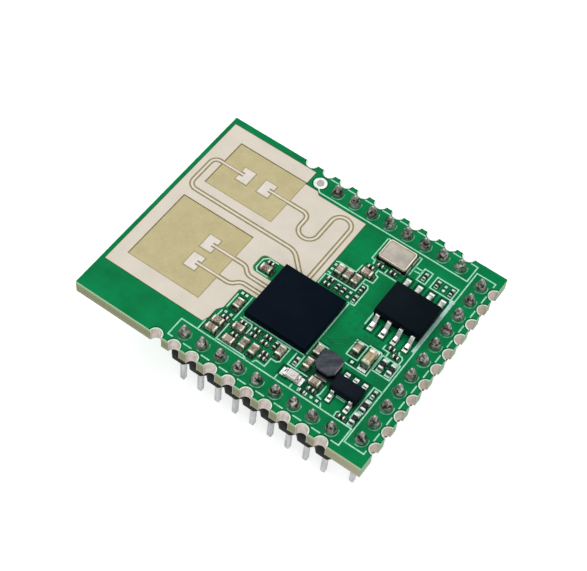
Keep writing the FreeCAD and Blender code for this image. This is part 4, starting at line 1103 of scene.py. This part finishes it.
# %% Covered traces and holes
HALF_TRACE = 0.045
BEND = [(21.6, 9.0), (22.1, 9.15), (22.7, 9.65), (23.2, 10.25), (23.75, 10.85)]
TRACES = [[(x + 0.24 * k, y - 0.1 * k) for x, y in BEND] for k in range(4)]
TRACES += [[(23.2 + 0.2 * k, 11.2), (23.2 + 0.2 * k, 13.2 - 0.3 * k)] for k in range(2)]
TRACES += [[(24.2, y), (25.0, y - 0.2), (25.8, y)] for y in (11.5, 11.3)]
COVERED_HOLES = [(22.0, 10.9), (22.5, 11.6), (21.7, 12.3), (22.3, 12.9), (27.2, 10.95), (25.6, 7.6),
                 (27.5, 8.3), (28.4, 8.3), (20.4, 3.3), (23.6, 3.6), (27.5, 5.2), (23.0, 8.6),
                 (18.4, 15.6), (20.2, 15.4), (24.5, 21.4), (27.1, 21.4), (22.6, 14.4), (22.9, 16.9)]
HOLE_RIDGE = [(0.03, MASK - 0.01), (0.13, MASK - 0.01), (0.12, MASK + 0.01), (0.06, MASK + 0.012)]
strip_piece("covered_traces", TRACES, HALF_TRACE, -HALF_TRACE, MASK - 0.01, MASK + 0.02,
            "mask_trace")
ring_piece("covered_holes", COVERED_HOLES, HOLE_RIDGE, 12, "mask_trace")

# %% [markdown]
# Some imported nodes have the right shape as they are, and only take a finish.

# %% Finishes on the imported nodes
NODE_FINISHES = {
    "antenna_ground_plane": "ground_copper",
    "transmit_antenna_outer": "patch_copper",
    "transmit_antenna_inner": "patch_copper",
    "receive_antenna_back": "patch_copper",
    "receive_antenna_front": "patch_copper",
    "power_inductor_resin": "wall_resin",
    "power_inductor_terminals": "tinned",
    "crystal_terminals": "tinned",
    "indicator_lamp_lens": "lens_resin",
    "bare_pads": "mint_land",
}
for node, finish in NODE_FINISHES.items():
    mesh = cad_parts[node].data
    mesh.materials.clear()
    mesh.materials.append(FINISHES[finish])
print("finished nodes:", len(NODE_FINISHES))

# %% [markdown]
# The module stands on its pin tips on a white table. The table looks white to the camera and to
# shiny metal because it glows a little for those rays, and it still takes a soft shadow.

# %% The table
TABLE = 2.0
GLOW = 0.7
bm = bmesh.new()
bmesh.ops.create_grid(bm, x_segments=4, y_segments=4, size=TABLE / 2)
table_mesh = bpy.data.meshes.new("table")
bm.to_mesh(table_mesh)
bm.free()
table = placed("table", table_mesh)
white = new_finish("table_white", (0.86, 0.86, 0.86, 1), 0.8, specular=0.2)
table_mesh.materials.append(white)
rays = add_node(white, "ShaderNodeLightPath", {}).outputs
seen = rays["Is Camera Ray"]
for kind in ("Is Glossy Ray", "Is Transmission Ray"):
    either = add_node(white, "ShaderNodeMath", {0: seen, 1: rays[kind]}, operation="MAXIMUM")
    seen = either.outputs[0]
glow = add_node(white, "ShaderNodeEmission", {"Strength": grow(white, seen, 0, 1, high=GLOW)})
nodes = white.node_tree.nodes
both = {0: nodes["Principled BSDF"].outputs[0], 1: glow.outputs[0]}
total = add_node(white, "ShaderNodeAddShader", both)
feed(white, total.outputs[0], nodes["Material Output"], "Surface")
print("table:", TABLE, "m")

# %% [markdown]
# One large soft lamp hangs overhead, one weaker one stands at the front right, and the world fills
# in. The world looks white to the camera, and lights the module only half as strongly.

# %% Lamps and world


def soft_lamp(name, place, side, watts):
    """A square lamp at a place in millimetres, turned towards the module."""
    lamp = bpy.data.lights.new(name, "AREA")
    lamp.shape = "SQUARE"
    lamp.size = side * MM
    lamp.energy = watts
    holder = placed(name, lamp)
    holder.location = Vector(place) * MM
    holder.rotation_euler = (Vector((0, 0, 5)) - Vector(place)).to_track_quat("-Z", "Y").to_euler()


soft_lamp("overhead_lamp", (-120, 110, 300), 240, 0.55)
soft_lamp("front_lamp", (220, -220, 160), 160, 0.16)
world = bpy.data.worlds.new("studio")
bpy.context.scene.world = world
world.use_nodes = True
background = world.node_tree.nodes["Background"]
feed(world, (1, 1, 1, 1), background, "Color")
rays = add_node(world, "ShaderNodeLightPath", {}).outputs
feed(world, grow(world, rays["Is Camera Ray"], 0, 1, 0.5, 1.0), background, "Strength")
print("lamps:", len(bpy.data.lights))

# %% [markdown]
# The camera looks down on the front right corner with a long lens, and is tipped a little, as the
# one that took the picture was.

# %% Camera
AIM = Vector((0.262, -0.499, 8.0)) * MM
DISTANCE = 141.126 * MM
AZIMUTH = math.radians(29.4)
ELEVATION = math.radians(56.146)
ROLL = math.radians(7.055)
away = Vector((math.sin(AZIMUTH) * math.cos(ELEVATION), -math.cos(AZIMUTH) * math.cos(ELEVATION),
               math.sin(ELEVATION)))
camera = bpy.data.cameras.new("camera")
camera.lens = 94.0
camera.sensor_width = 36.0
camera.clip_start = 0.01
camera.clip_end = 10.0
viewer = placed("camera", camera)
viewer.location = AIM + away * DISTANCE
viewer.rotation_mode = "QUATERNION"
viewer.rotation_quaternion = (-away).to_track_quat("-Z", "Y") @ Quaternion((0, 0, 1), ROLL)
bpy.context.scene.camera = viewer
bpy.context.scene.view_settings.view_transform = "Standard"
print("camera at", [round(c / MM, 2) for c in viewer.location], "mm")
